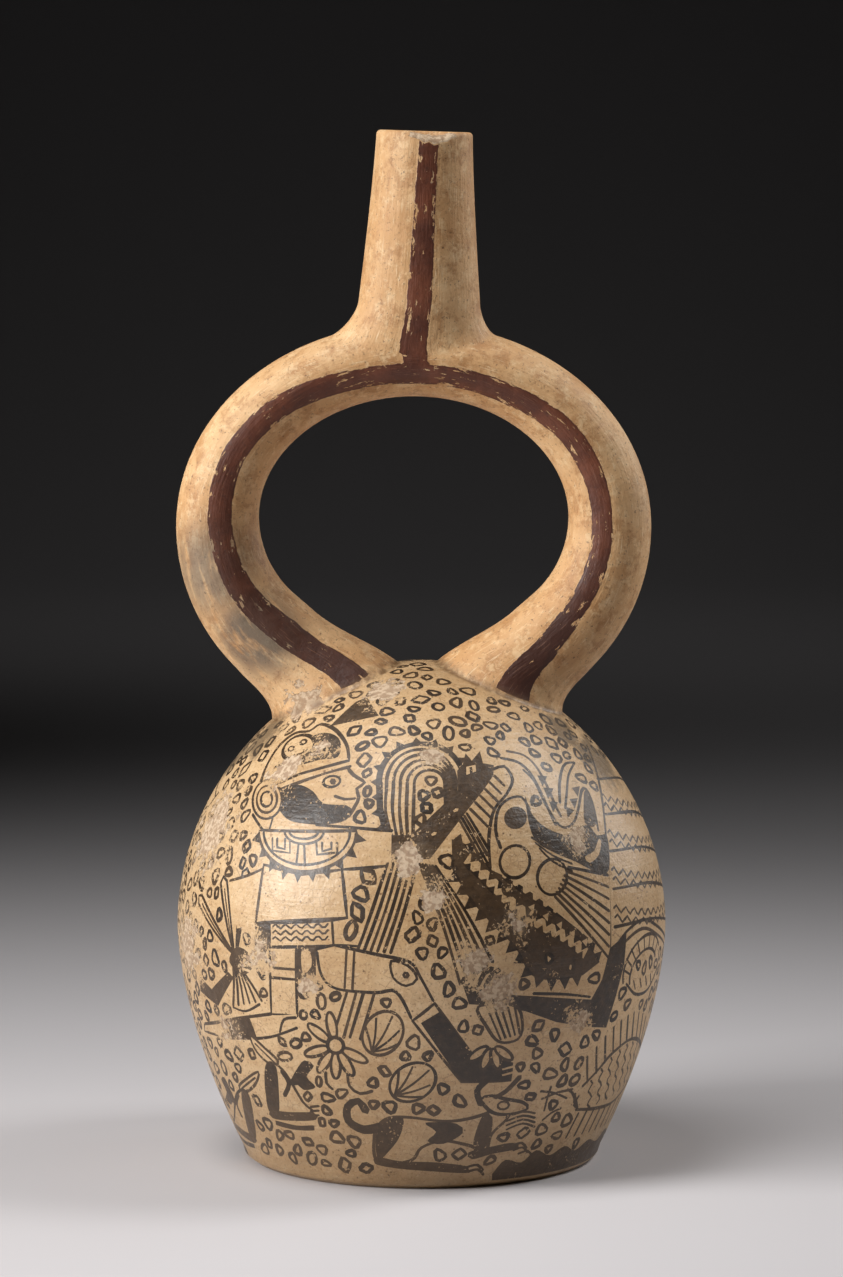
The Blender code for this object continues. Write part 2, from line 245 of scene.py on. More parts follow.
class Stirrup:
    """The tube's centreline and sections, by the length along it from its top (run). Runs are
    negative on the left."""

    def __init__(self):
        quarter = np.linspace(0, math.pi / 2, ARCH_POINTS)
        across = STIRRUP_HALF_SPAN * np.sin(quarter)
        height = STIRRUP_CENTRE_HEIGHT + STIRRUP_RISE * np.cos(quarter)
        out_x = STIRRUP_RISE * np.sin(quarter)
        out_z = STIRRUP_HALF_SPAN * np.cos(quarter)
        size = np.hypot(out_x, out_z)
        bend = np.linspace(0, LEG_BEND, 120)[1:]
        low_across = STIRRUP_HALF_SPAN - LEG_BEND_RADIUS * (1 - np.cos(bend))
        low_height = STIRRUP_CENTRE_HEIGHT - LEG_BEND_RADIUS * np.sin(bend)
        down = np.array([LEG_RUN, LEG_RUN + 40.0])
        end_across = low_across[-1] - down * math.sin(LEG_BEND)
        end_height = low_height[-1] - down * math.cos(LEG_BEND)
        self.across = np.concatenate([across, low_across, end_across])
        self.height = np.concatenate([height, low_height, end_height])
        self.out_x = np.concatenate([out_x / size, np.cos(bend), [math.cos(LEG_BEND)] * 2])
        self.out_z = np.concatenate([out_z / size, -np.sin(bend), [-math.sin(LEG_BEND)] * 2])
        steps = np.hypot(np.diff(self.across), np.diff(self.height))
        self.runs = np.concatenate([[0.0], np.cumsum(steps)])
        self.quarter = quarter
        self.length = self.runs[-2]

    def run_at(self, angle):
        """The run at an angle from the top, measured on the ellipse."""
        return math.copysign(np.interp(abs(angle), self.quarter, self.runs[:ARCH_POINTS]), angle)

    def surface(self, run, turn, inset=0.0):
        """Points of the tube's surface. turn is the angle from its outward side towards +Y."""
        side = np.where(run < 0, -1.0, 1.0)
        length = np.abs(run)
        share = np.minimum(length / self.length, 1.0)
        growth = (TUBE_RADIUS_LEG - TUBE_RADIUS_TOP) * share**TUBE_GROWTH_POWER
        radius = TUBE_RADIUS_TOP + growth
        depth = np.maximum(TUBE_DEPTH_TOP, radius) - inset
        outwards = (radius - inset) * np.cos(turn)
        kept = (self.across, self.height, self.out_x, self.out_z)
        centre_x, centre_z, out_x, out_z = (np.interp(length, self.runs, values) for values in kept)
        x, z = centre_x + out_x * outwards, centre_z + out_z * outwards
        return np.column_stack([STIRRUP_SHIFT + side * x, depth * np.sin(turn), z])

    def point(self, run, turn, inset=0.0):
        return Vector(self.surface(np.array([run]), np.array([turn]), inset)[0])

    def down_leg(self, side):
        return Vector((-side * math.sin(LEG_BEND), 0, -math.cos(LEG_BEND)))


STIRRUP = Stirrup()


def leg_foot_point(side, turn):
    across = LEG_FOOT_OFFSET + LEG_FOOT_HALF_LENGTH * math.cos(turn)
    return OUTER_WALL.dome_point(FEET_SHIFT + side * across, LEG_FOOT_HALF_DEPTH * math.sin(turn))


def flare_point(side, turn, share):
    """A point of the flare between a leg's end and its foot on the dome."""
    foot = leg_foot_point(side, turn)
    centre = OUTER_WALL.dome_point(FEET_SHIFT + side * LEG_FOOT_OFFSET, 0)
    normal = dome_normal(foot)
    away = foot - centre
    away = (away - normal * away.dot(normal)).normalized()
    arrive = away * math.cos(FLARE_SLOPE) - normal * math.sin(FLARE_SLOPE)
    top = STIRRUP.point(side * STIRRUP.length, turn)
    reach = (foot - top).length
    return hermite(top, foot, STIRRUP.down_leg(side) * reach, arrive * reach, share)


def spout_length():
    stirrup_top = STIRRUP_CENTRE_HEIGHT + STIRRUP_RISE + TUBE_RADIUS_TOP
    return HEIGHT - stirrup_top - SPOUT_FLARE_RISE


def rim_centre():
    return Vector((SPOUT_TOP_SHIFT, 0, HEIGHT - RIM_RADIUS * math.sin(SPOUT_LEAN)))


def spout_point(down, across, depth, turn):
    """A point of a ring round the spout's axis, at a distance below the rim."""
    axis = Vector((-math.sin(SPOUT_LEAN), 0, -math.cos(SPOUT_LEAN)))
    right = Vector((math.cos(SPOUT_LEAN), 0, -math.sin(SPOUT_LEAN)))
    sideways = right * (across * math.cos(turn))
    return rim_centre() + axis * down + sideways + Vector((0, depth * math.sin(turn), 0))


def spout_foot_place(turn, angle, wrap):
    """Where the spout's foot lies on the stirrup, as (run, turn)."""
    return STIRRUP.run_at(angle * math.cos(turn)), wrap * math.sin(turn)


def spout_flare_point(turn, share):
    run, wrap = spout_foot_place(turn, SPOUT_FOOT_ANGLE, SPOUT_FOOT_WRAP)
    foot = STIRRUP.point(run, wrap)
    run, wrap = spout_foot_place(turn, SPOUT_FOOT_ANGLE * 0.95, SPOUT_FOOT_WRAP * 0.95)
    away = (foot - STIRRUP.point(run, wrap)).normalized()
    heart = Vector((STIRRUP_SHIFT, 0, STIRRUP_CENTRE_HEIGHT + STIRRUP_RISE))
    inward = (heart - foot).normalized()
    arrive = away * math.cos(SPOUT_FLARE_SLOPE) + inward * math.sin(SPOUT_FLARE_SLOPE)
    top = spout_point(spout_length(), SPOUT_BASE_RADIUS, SPOUT_BASE_DEPTH, turn)
    reach = (foot - top).length
    axis = Vector((-math.sin(SPOUT_LEAN), 0, -math.cos(SPOUT_LEAN)))
    return hermite(top, foot, axis * reach, arrive * reach, share)


def chip_drop(turn, outset):
    """How far the rim is worn down at an angle round it. outset is 0 at its bore and 1 outside."""
    across = RIM_RADIUS * math.cos(turn) - CHIP_SHIFT
    if math.sin(turn) > 0 or abs(across) > CHIP_WIDTH / 2:
        return 0.0
    share = 2 * across / CHIP_WIDTH
    ragged = 1 + 0.18 * math.sin(across * 1.9) + 0.1 * math.sin(across * 4.3 + 1)
    return CHIP_DEPTH * (1 - share**2) * ragged * (0.25 + 0.75 * outset)


def on_chip(place):
    """1 for a point on the broken part of the rim, else 0."""
    away = Vector(place) - rim_centre()
    down = -away.x * math.sin(SPOUT_LEAN) - away.z * math.cos(SPOUT_LEAN)
    outset = min(max((math.hypot(away.x, away.y) - RIM_RADIUS) / RIM_WALL + 1, 0), 1)
    drop = chip_drop(math.atan2(away.y, away.x), outset)
    return float(drop > 0.25 and down < drop + 0.9)


# Building the skin

UNSEEN_PATCHES = ("underside", "spout_bore", "stirrup_bore", "hollow", "hollow_floor")
PATCHES = ("chamber", "cap", "stirrup", "spout") + UNSEEN_PATCHES


class Skin:
    """Collects points and faces. Each face keeps its patch, paint, tone and corners' map places."""

    def __init__(self):
        self.points = []
        self.band = []
        self.stirrup = []
        self.crease = []
        self.normals = {}
        self.faces = []
        self.places = []
        self.patch = []
        self.paint = []
        self.tone = []

    def add_points(self, points, band=OFF_BAND, stirrup=0.0, crease=NO_CREASE):
        """Adds points and returns their numbers. The other values are one each or one for all."""
        first = len(self.points)
        self.points.extend(Vector(point) for point in points)
        count = len(self.points) - first
        for kept, value in ((self.band, band), (self.stirrup, stirrup), (self.crease, crease)):
            kept.extend(np.broadcast_to(value, count).tolist())
        return list(range(first, first + count))

    def add_face(self, corners, places, patch, paint=0, tone=0.5):
        self.faces.append(corners)
        self.places.append(places)
        self.patch.append(PATCHES.index(patch))
        self.paint.append(paint)
        self.tone.append(tone)

    def loft(self, rings, patch, turns, alongs):
        """Joins rings of point numbers. A corner's map place is its (turn, along)."""
        count = len(turns)
        for ring, after, along, next_along in zip(rings, rings[1:], alongs, alongs[1:]):
            for k, turn in enumerate(turns):
                n = (k + 1) % count
                next_turn = turn + TAU / count
                near = ((turn, along), (turn, next_along))
                far = ((next_turn, next_along), (next_turn, along))
                self.add_face((ring[k], after[k], after[n], ring[n]), near + far, patch)

    def close(self, ring, heart, patch, turns, radius):
        """Closes a ring of point numbers with triangles to a point at its heart."""
        heart = self.add_points([heart])[0]
        for k, turn in enumerate(turns):
            corners = (ring[k], heart, ring[(k + 1) % len(ring)])
            places = ((turn, radius), (turn, 0.0), (turn + TAU / len(ring), radius))
            self.add_face(corners, places, patch)

    def flip_from(self, first):
        """Turns over every face from the given one on."""
        for k in range(first, len(self.faces)):
            self.faces[k] = self.faces[k][::-1]
            self.places[k] = self.places[k][::-1]


def turns_of(count):
    return [TAU * k / count for k in range(count)]


def inside_loop(points, loop):
    """How often a closed loop of flat points winds round each of the points."""
    x, y = points[:, 0:1], points[:, 1:2]
    x0, y0 = loop[:, 0], loop[:, 1]
    x1, y1 = np.roll(x0, -1), np.roll(y0, -1)
    side = (x1 - x0) * (y - y0) - (x - x0) * (y1 - y0)
    rising = (y0 <= y) & (y1 > y) & (side > 0)
    falling = (y0 > y) & (y1 <= y) & (side < 0)
    return rising.sum(axis=1) - falling.sum(axis=1)


def within_box(points, loop):
    low, high = loop.min(axis=0), loop.max(axis=0)
    return np.flatnonzero(np.all((points >= low) & (points <= high), axis=1))


def triangulate(loops, lines, spare):
    """Triangles through closed loops of flat points, further closed lines and spare points.

    Returns the flat points, the triangles, and for each loop the numbers of its points.
    """
    points = np.concatenate(loops + lines + [spare])
    edges = []
    first = 0
    for line in loops + lines:
        count = len(line)
        edges.extend((first + k, first + (k + 1) % count) for k in range(count))
        first += count
    found = delaunay_2d_cdt([Vector(point) for point in points], edges, [], 0, 1e-5)
    flat = np.array([tuple(point) for point in found[0]])
    triangles = np.array(found[2])
    number_of = {}
    for new, olds in enumerate(found[3]):
        for old in olds:
            number_of[old] = new
    loop_numbers = []
    first = 0
    for loop in loops:
        loop_numbers.append([number_of[first + k] for k in range(len(loop))])
        first += len(loop)
    return flat, triangles, loop_numbers


def kept_triangles(flat, triangles, outline, holes):
    """The triangles inside the outline and outside the holes, and their centres."""
    corners = flat[triangles]
    centres = corners.mean(axis=1)
    first, second = corners[:, 1] - corners[:, 0], corners[:, 2] - corners[:, 0]
    area = first[:, 0] * second[:, 1] - first[:, 1] * second[:, 0]
    keep = (np.abs(area) > 1e-9) & (inside_loop(centres, outline) != 0)
    for hole in holes:
        near = within_box(centres, hole)
        keep[near[inside_loop(centres[near], hole) != 0]] = False
    clockwise = area < 0
    triangles[clockwise] = triangles[clockwise][:, ::-1]
    return triangles[keep], centres[keep]


def offset_loop(loop, distance):
    """A closed flat loop moved outwards by a distance. The loop turns anticlockwise."""
    tangent = np.roll(loop, -1, axis=0) - np.roll(loop, 1, axis=0)
    normal = np.column_stack([tangent[:, 1], -tangent[:, 0]])
    return loop + normal / np.linalg.norm(normal, axis=1, keepdims=True) * distance


def anticlockwise(loop):
    area = np.sum(loop[:, 0] * np.roll(loop[:, 1], -1) - loop[:, 1] * np.roll(loop[:, 0], -1))
    return loop if area > 0 else loop[::-1]


def away_from(points, loops, distance):
    """The points that keep a distance from every loop, and lie outside it."""
    for loop in loops:
        gap = np.min(np.linalg.norm(points[:, None] - loop[None], axis=2), axis=1)
        points = points[(gap > distance) & (inside_loop(points, loop) == 0)]
    return points


# The painting

LINE = 1.15
FINE_LINE = 0.9

# Beans strewn over the free ground: how many places are tried, their sizes, and the gaps that they
# keep from each other, from the figures and from the legs
BEAN_TRIES = 40000
BEAN_SIZES = (1.3, 1.95)
BEAN_LEAST = 1.1
BEAN_GAP = 1.1
BEAN_GAP_TO_FIGURE = 0.6
BEAN_GAP_TO_LEG = 1.2


def smooth(points, closed=False, step=1.5):
    """Places along a smooth line through the given ones."""
    points = [np.array(point, float) for point in points]
    count = len(points)
    spans = count if closed else count - 1
    path = []
    for k in range(spans):
        if closed:
            before, start, end, after = (points[(k + n) % count] for n in (-1, 0, 1, 2))
        else:
            before, start, end, after = (points[min(max(k + n, 0), count - 1)] for n in (-1, 0, 1, 2))
        parts = max(int(np.linalg.norm(end - start) / step + 0.5), 1)
        for share in np.arange(parts) / parts:
            bend = (2 * before - 5 * start + 4 * end - after) * share**2
            twist = (-before + 3 * start - 3 * end + after) * share**3
            path.append((2 * start + (end - before) * share + bend + twist) / 2)
    if not closed:
        path.append(points[-1])
    return np.array(path)


def straight(points, closed=False, step=3.0):
    """Places along the straight lines between the given ones."""
    points = [np.array(point, float) for point in points]
    ends = points[1:] + points[:1] if closed else points[1:]
    path = []
    for start, end in zip(points, ends):
        parts = max(int(np.linalg.norm(end - start) / step + 0.5), 1)
        path.extend(start + (end - start) * share for share in np.arange(parts) / parts)
    if not closed:
        path.append(points[-1])
    return np.array(path)


def heading(degrees):
    """A step of length 1 in a direction on the flat map."""
    turn = math.radians(degrees)
    return np.array([math.cos(turn), math.sin(turn)])


def turned(x, y, lean):
    """Flat points turned by an angle."""
    across = x * math.cos(lean) - y * math.sin(lean)
    return np.column_stack([across, x * math.sin(lean) + y * math.cos(lean)])


def oval(centre, across, up, tilt=0.0, start=0.0, end=360.0, parts=None):
    """Places round an oval, or part of it, between two angles in degrees."""
    full = abs(end - start) >= 360
    parts = parts or max(int(math.radians(abs(end - start)) * max(across, up) / 1.1), 5)
    angle = np.radians(np.linspace(start, end, parts + (0 if full else 1), endpoint=not full))
    return turned(across * np.cos(angle), up * np.sin(angle), math.radians(tilt)) + np.array(centre)


def wave(start, end, swing, length, sag=0.0):
    """Places along a wiggling line that may sag in the middle."""
    start, end = np.array(start, float), np.array(end, float)
    span = np.linalg.norm(end - start)
    parts = max(int(span / length * 4), 4)
    share = np.arange(parts + 1) / parts
    aside = np.array([start[1] - end[1], end[0] - start[0]]) / span
    offset = swing * np.sin(share * span / length * TAU) - sag * 4 * share * (1 - share)
    return start + (end - start) * share[:, None] + aside * offset[:, None]


class Mark:
    """A closed outline on the flat map, filled with paint or clear of it."""

    def __init__(self, loop, dark, tone):
        self.loop = loop
        self.dark = dark
        self.tone = tone


class Brush:
    """Paints the chamber. x runs round it from the brush's own turn, and y up from its foot."""

    def __init__(self, turn, seed):
        self.turn = turn
        self.random = random.Random(seed)
        self.marks = []

    def lay(self, path):
        """The flat points for an array of places."""
        reach = np.clip(OUTER_WALL.foot_reach - path[:, 1], 1.0, OUTER_WALL.length - 0.5)
        angle = self.turn + path[:, 0] / OUTER_WALL.radius(reach)
        spread = OUTER_WALL.spread(reach)
        return np.column_stack([spread * np.sin(angle), -spread * np.cos(angle)])

    def spot(self, x, y):
        """The flat point for one place, as an array of one."""
        return self.lay(np.array([[x, y]], float))

    def add(self, loop, dark):
        self.marks.append(Mark(loop, dark, self.random.random()))

    def uneven(self, count, swing):
        """Values round 1 that swing slowly, for the width of a stroke."""
        phase, pace = self.random.uniform(0, TAU), self.random.uniform(0.25, 0.5)
        return 1 + swing * np.sin(phase + pace * np.arange(count))

    def fill(self, path, dark=True):
        """Fills a closed path with paint, or wipes it clear."""
        self.add(self.lay(np.array(path, float)), dark)

    # Paint, wiped ground, outlines and strokes with straight or smooth edges

    def patch(self, corners):
        self.fill(straight(corners, True))

    def wipe(self, corners):
        self.fill(straight(corners, True), False)

    def blob(self, points):
        self.fill(smooth(points, True))

    def panel(self, corners, width=FINE_LINE):
        self.shape(straight(corners, True), width)

    def form(self, points, width=FINE_LINE):
        self.shape(smooth(points, True), width)

    def line(self, points, width=FINE_LINE):
        self.stroke(straight(points), width)

    def curve(self, points, width=FINE_LINE):
        self.stroke(smooth(points), width)

    def stroke(self, path, width=LINE):
        """A stroke along a path, with round ends."""
        flat = self.lay(np.array(path, float))
        run = np.gradient(flat, axis=0)
        run /= np.maximum(np.linalg.norm(run, axis=1, keepdims=True), 1e-9)
        half = (width / 2 * OUTER_WALL.scale(flat) * self.uneven(len(flat), 0.14))[:, None]
        aside = np.column_stack([-run[:, 1], run[:, 0]]) * half
        tips = flat[[0, -1]] + run[[0, -1]] * half[[0, -1]] * np.array([[-0.9], [0.9]])
        loop = np.concatenate([flat + aside, tips[1:], (flat - aside)[::-1], tips[:1]])
        self.add(loop, True)

    def shape(self, path, width=LINE):
        """A closed outline that hides whatever was painted under it."""
        self.outline(self.lay(np.array(path, float)), width)

    def outline(self, flat, width):
        flat = anticlockwise(flat)
        half = (width / 2 * OUTER_WALL.scale(flat) * self.uneven(len(flat), 0.14))[:, None]
        self.add(offset_loop(flat, half), True)
        self.add(offset_loop(flat, -half), False)

    def lines(self, starts, ends, count, width=FINE_LINE, bow=0.0):
        """Strokes side by side. The first runs from starts[0] to ends[0], the last between the others."""
        low, high = np.array(starts, float), np.array(ends, float)
        for k in range(count):
            share = k / max(count - 1, 1)
            start = low[0] + (low[1] - low[0]) * share
            end = high[0] + (high[1] - high[0]) * share
            span = end - start
            middle = (start + end) / 2 + np.array([-span[1], span[0]]) * bow
            self.stroke(smooth([start, middle, end], step=2.4), width)

    def teeth(self, path, depth, pitch, side=1):
        """Dark saw teeth that stand on a path."""
        steps = np.linalg.norm(np.diff(path, axis=0), axis=1)
        along = np.concatenate([[0], np.cumsum(steps)])
        count = max(int(along[-1] / pitch), 1)
        for k in range(count):
            places = [
                np.array([np.interp((k + s) * along[-1] / count, along, path[:, n]) for n in (0, 1)])
                for s in (0.04, 0.5, 0.96)
            ]
            run = places[2] - places[0]
            aside = np.array([-run[1], run[0]]) / np.linalg.norm(run) * side
            tip = places[1] + aside * depth * self.random.uniform(0.85, 1.1)
            self.fill(straight([places[0] - aside * 0.5, places[2] - aside * 0.5, tip], True, 2.0))

    def petals(self, heart, away, angles, length, width):
        """Ovals that point outwards round a place."""
        for angle in angles:
            self.shape(oval(np.array(heart) + away * heading(angle), length, width, angle), FINE_LINE)

    def beans(self, places, size):
        for x, y in places:
            self.bean(x, y, size)

    def bean(self, x, y, size):
        """A small ring with blunt corners, each one different."""
        corners = self.random.choice((2, 3, 3, 3, 4))
        phase = self.random.uniform(0, TAU)
        length = self.random.uniform(1.0, 1.28)
        lean = self.random.uniform(0, math.pi)
        angle = np.arange(12) * TAU / 12
        out = size * (1 + 0.15 * np.cos(corners * (angle - phase)))
        ring = turned(out * np.cos(angle) * length, out * np.sin(angle) / length, lean)
        centre = self.spot(x, y)
        flat = centre + ring * OUTER_WALL.scale(centre)
        self.outline(flat, self.random.uniform(0.95, 1.3))


def paint_headdress(brush):
    """A crescent cap with a beast's face on it, and a dark plume."""
    brush.patch([(-27.5, 135), (-19.5, 146), (-16, 148.5), (-12, 140.5), (-19, 138)])
    crown = [(-20.5, 123.5), (-21.5, 129), (-25.5, 134), (-31, 135.5), (-35, 132.5), (-41, 131)]
    crown += [(-47, 126), (-51, 118.5), (-52.5, 110.5)]
    brush.shape(np.concatenate([smooth(crown), straight([(-52.5, 110.5), (-36, 118),
        (-20.5, 123.5)])[1:-1]]))
    brush.blob([(-47, 119), (-40, 119.5), (-30, 123), (-24, 124.5), (-23.5, 130), (-27, 132.5),
        (-33, 131), (-36, 124), (-42, 121.5)])
    brush.shape(oval((-38.5, 126.5), 6.6, 3.8, 24))
    for x, y in ((-41.2, 125.6), (-36.6, 128.4)):
        brush.shape(oval((x, y), 1.3, 0.8, 24), 0.7)
    brush.curve([(-39.5, 123.6), (-37, 124.3), (-34.6, 126)], 0.8)
    brush.curve([(-53, 107.8), (-37, 115.2), (-20, 121.6)])


def paint_head(brush):
    """A plain profile under the cap, its lower half dark, with a ringed ear ornament."""
    face = smooth([(-21, 121.2), (-19, 118.8), (-15.8, 116.6), (-18, 114.6), (-17.4, 112), (-18.6, 109),
        (-21.5, 105.4), (-29, 103.8), (-38, 104.2), (-43, 107.5), (-43.5, 111.5)])
    brush.shape(face)
    brush.blob([(-43, 111.5), (-37, 114.5), (-31.5, 113), (-28, 109.6), (-21, 109.4), (-19.4, 107.6),
        (-22, 104.8), (-29, 103.4), (-38.5, 103.6), (-43, 107)])
    brush.shape(oval((-25.6, 116.4), 2.7, 1.7, 15), 0.8)
    brush.fill(oval((-25.2, 116.4), 1.1, 1.1))
    brush.curve([(-18.4, 111.6), (-21.5, 111.2), (-24.5, 112)], 0.8)
    for radius in (6.2, 4.3, 2.4):
        brush.shape(oval((-48.3, 109), radius, radius * 0.92), 0.8)
    brush.curve([(-53.5, 104), (-47, 99.5), (-45, 104)], 0.8)


def paint_pectoral(brush):
    """A half-round breast ornament with nested bands, stepped bars and a saw-toothed edge."""
    centre = (-34, 101)
    edge = oval(centre, 16, 11.2, 4, 180, 360)
    brush.teeth(edge, 3.2, 4.3, -1)
    brush.shape(np.concatenate([edge, straight([edge[-1], edge[0]], step=4)[1:-1]]), 0.9)
    for across, up in ((14.2, 9.4), (6.4, 3.6), (4.8, 2.2)):
        brush.stroke(oval(centre, across, up, 4, 183, 357), 0.75)
    for side, lean in ((-1, -8), (1, 16)):
        for size in (1.0, 0.45):
            x, y = centre[0] + side * 7.4, centre[1] - 4.4
            brush.line([(x - 3.2 * size, y + 1.6), (x - 2.9 * size, y - 1.9 * size),
                (x + 3.2 * size, y - 1.7 * size + lean * 0.05), (x + 3 * size, y + 1.8)], 0.75)
    brush.lines([(-35.4, 97.4), (-33.6, 97.4)], [(-36, 91.4), (-33.2, 91.4)], 2, 0.7)
    brush.line([(-30, 103.1), (-20, 103), (-8, 102.4)])


def paint_tunic(brush):
    """The body: a plain tunic, its sleeve, a bean-filled panel, the belt and the hanging cloth."""
    brush.wipe([(-20, 102.6), (-8, 102.4), (-8, 92.2), (-20, 91)])
    brush.line([(-21, 91), (-9.4, 92.4)])
    brush.wipe([(-60, 84.5), (-47, 89.5), (-49.5, 74), (-57, 72)])
    brush.curve([(-61, 84.6), (-53, 87), (-47, 89.6)], 0.8)
    brush.panel([(-47.3, 90.5), (-34, 89), (-21.8, 91), (-20.4, 78), (-35, 76.4), (-49.6, 74.3)])
    brush.panel([(-22, 91), (-9.4, 92.4), (-17, 70.4), (-24.6, 70.4), (-24.8, 77), (-20.5, 78)])
    brush.beans(((-14.6, 89.4), (-16.6, 84.6), (-17.6, 79.6), (-19.4, 74.6)), 1.9)
    brush.panel([(-44.6, 74.9), (-24.8, 77), (-24.4, 70.2), (-44.4, 68.4)])
    for k in range(3):
        brush.stroke(wave((-43.4, 70.6 + 1.7 * k), (-26, 72.2 + 1.7 * k), 0.6, 3.4), 0.6)
    brush.patch([(-49.8, 74.6), (-44.6, 75), (-44.6, 68.6), (-46, 66.5), (-50, 67)])
    brush.panel([(-44.5, 68.2), (-35.7, 69), (-35.6, 49.5), (-44.3, 49.2)])
    brush.lines([(-44.4, 62.6), (-44.4, 59.8)], [(-36, 62.8), (-36, 60)], 2, 0.8)
    brush.patch([(-36, 69), (-29.6, 69.4), (-29.6, 60.6), (-36, 60)])
    brush.fill(smooth([(-34, 68), (-31.4, 68), (-31, 64), (-33.6, 62)], True), False)


def paint_legs(brush):
    """Two bent legs with dark greaves, the right one stepping down to a dark foot."""
    brush.wipe([(-53, 47.5), (-35.7, 50), (-35.7, 45), (-52, 40.5)])
    brush.line([(-54, 47), (-44.4, 49.2)])
    brush.curve([(-51.5, 40.8), (-44, 42.5), (-35.7, 46)])
    brush.curve([(-41.5, 44), (-40, 48), (-36, 49)], 0.8)
    brush.panel([(-53.2, 47.4), (-69.2, 43), (-78, 41), (-79, 38.6), (-62, 39.4), (-50.4, 41.2)])
    brush.patch([(-53.2, 47.4), (-66.6, 44), (-64.6, 39.6), (-50.4, 41.2)])
    thigh = smooth([(-24.2, 70.4), (-12.6, 68.4), (-3.2, 66.4), (-0.4, 62.4), (3.6, 54.8)])
    under = smooth([(-2.4, 49.8), (-6.8, 58), (-12.6, 57.7), (-23.8, 58.4), (-28, 62), (-29.4, 69)])
    brush.shape(np.concatenate([thigh, under]), 0.9)
    brush.lines([(-20.6, 69.6), (-18.4, 69.4)], [(-21.2, 58.6), (-19, 58.4)], 2, 0.8)
    brush.form([(-8.2, 66.6), (-3.6, 65.4), (-1.2, 61.8), (-4.2, 59.8), (-7.6, 62)], 0.8)
    brush.fill(oval((-4.2, 62.8), 1.1, 1.1))
    brush.panel([(-2.4, 49.8), (3.6, 54.8), (14, 39.6), (25.4, 36.2), (25, 31), (11, 31.4)])
    brush.patch([(-0.2, 49.2), (5.2, 52.6), (14, 39.6), (25.4, 36.4), (24.8, 31), (11, 31.4)])
    for y in (34.8, 33):
        brush.wipe([(22.4, y), (26, y + 0.8), (26, y + 0.1), (22.6, y - 0.5)])


def paint_hand(brush):
    """The left hand with its knot of long ribbons and a dark forearm."""
    ends = ((-58.6, 65, -76.6, 77.6), (-58.4, 65.6, -63.8, 84), (-57, 66, -54, 87.4))
    for start, end in np.array(ends).reshape(3, 2, 2):
        run = (end - start) / np.linalg.norm(end - start)
        aside = np.array([-run[1], run[0]])
        middle = (start + end) / 2
        tip = [end + aside * 1.5, end + run * 1.4, end - aside * 1.5]
        brush.form([start, middle + aside * 1.1] + tip + [middle - aside * 1.1])
        brush.curve([start, middle, end - run * 2], 0.6)
    brush.lines([(-58.6, 62), (-55.4, 61)], [(-59.4, 49.6), (-47.6, 52.6)], 6, FINE_LINE, 0.03)
    brush.curve([(-59.6, 49.2), (-54, 48.8), (-48.4, 51.6)], 0.7)
    brush.patch([(-77.6, 56), (-70, 53), (-61, 59.4), (-58.6, 58), (-67, 48.4), (-77.6, 51.2)])
    brush.blob([(-60.4, 62.4), (-57.4, 66.8), (-52.6, 66), (-51, 61.6), (-55, 59.4)])
    for y in (61.4, 63.4, 65.2):
        brush.wipe([(-54.4, y), (-50.4, y - 0.6), (-50.4, y - 1.3), (-54.6, y - 0.7)])


def paint_ribbon_flower(brush):
    """Hanging ribbons that end in a ring with petals and two curls."""
    brush.lines([(-20.4, 58), (-17.8, 58)], [(-24.6, 44.6), (-21.6, 44.2)], 2)
    brush.lines([(-15.8, 57.8), (-12.8, 57.8)], [(-19.8, 44.4), (-16.8, 44)], 2)
    brush.petals((-24, 41.6), 6, (100, 145, 200, 238, 270, 300, 335), 4.0, 1.4)
    brush.shape(oval((-24, 41.8), 2.4, 2.4), 1.1)
    brush.curve([(-20.6, 34), (-20, 29.6), (-17, 27.4), (-13.6, 28.4)])
    brush.curve([(-27, 33.4), (-26.8, 30), (-25, 28.2)])


def paint_shell(brush, centre, size, tilt):
    """A ribbed shell or fan."""
    brush.shape(oval(centre, size, size * 0.78, tilt), 0.9)
    root = np.array(centre) - heading(tilt) * size * 0.94
    for angle in (-42, -21, 0, 21, 42):
        tip = root + heading(tilt + angle) * size * (1.78 - abs(angle) * 0.014)
        brush.curve([root, (root + tip) / 2 + np.array([0.3, -0.3]), tip], 0.7)


def paint_small_dog(brush, x, y, side=1):
    """A seated dog that looks back over its tail."""
    def at(*points):
        return [(x + side * px, y + py) for px, py in points]
    brush.form(at((-8.4, 23), (-9.6, 26.6), (-4, 23.4), (0.4, 20.2), (-1, 18.4), (-5, 20)))
    brush.lines([at((-8, 24.4))[0], at((-4, 21.6))[0]], [at((-2, 20.4))[0], at((-0.4, 19.2))[0]], 3, 0.6)
    brush.form(at((-3.6, 18.6), (2, 17.6), (8.6, 8), (11.6, 5.2), (4, 3.2), (-2, 4), (-4.6, 9)))
    brush.blob(at((-4, 18.6), (-0.4, 18.4), (0.2, 10), (-0.6, 2.6), (-4.4, 3.4), (-5, 10)))
    brush.blob(at((-4, 3.4), (4, 4.2), (12, 5), (12.6, 2.8), (5, 1.4), (-3, 1)))
    brush.blob(at((-2, 0.4), (6, 0), (12, 0.8), (12, -0.8), (5, -1.6), (-2, -1)))
    brush.blob(at((4, 13), (6.6, 18), (9.4, 21.4), (12.4, 20), (10, 16.4), (12.8, 13.4), (9, 12),
        (7, 13.4)))
    brush.curve(at((1.6, 17), (4, 13.4), (2.2, 9.4)), 1.3)
    for k in range(3):
        brush.curve(at((11, 4 + 1.4 * k), (13.6, 4.4 + 1.5 * k)), 0.7)


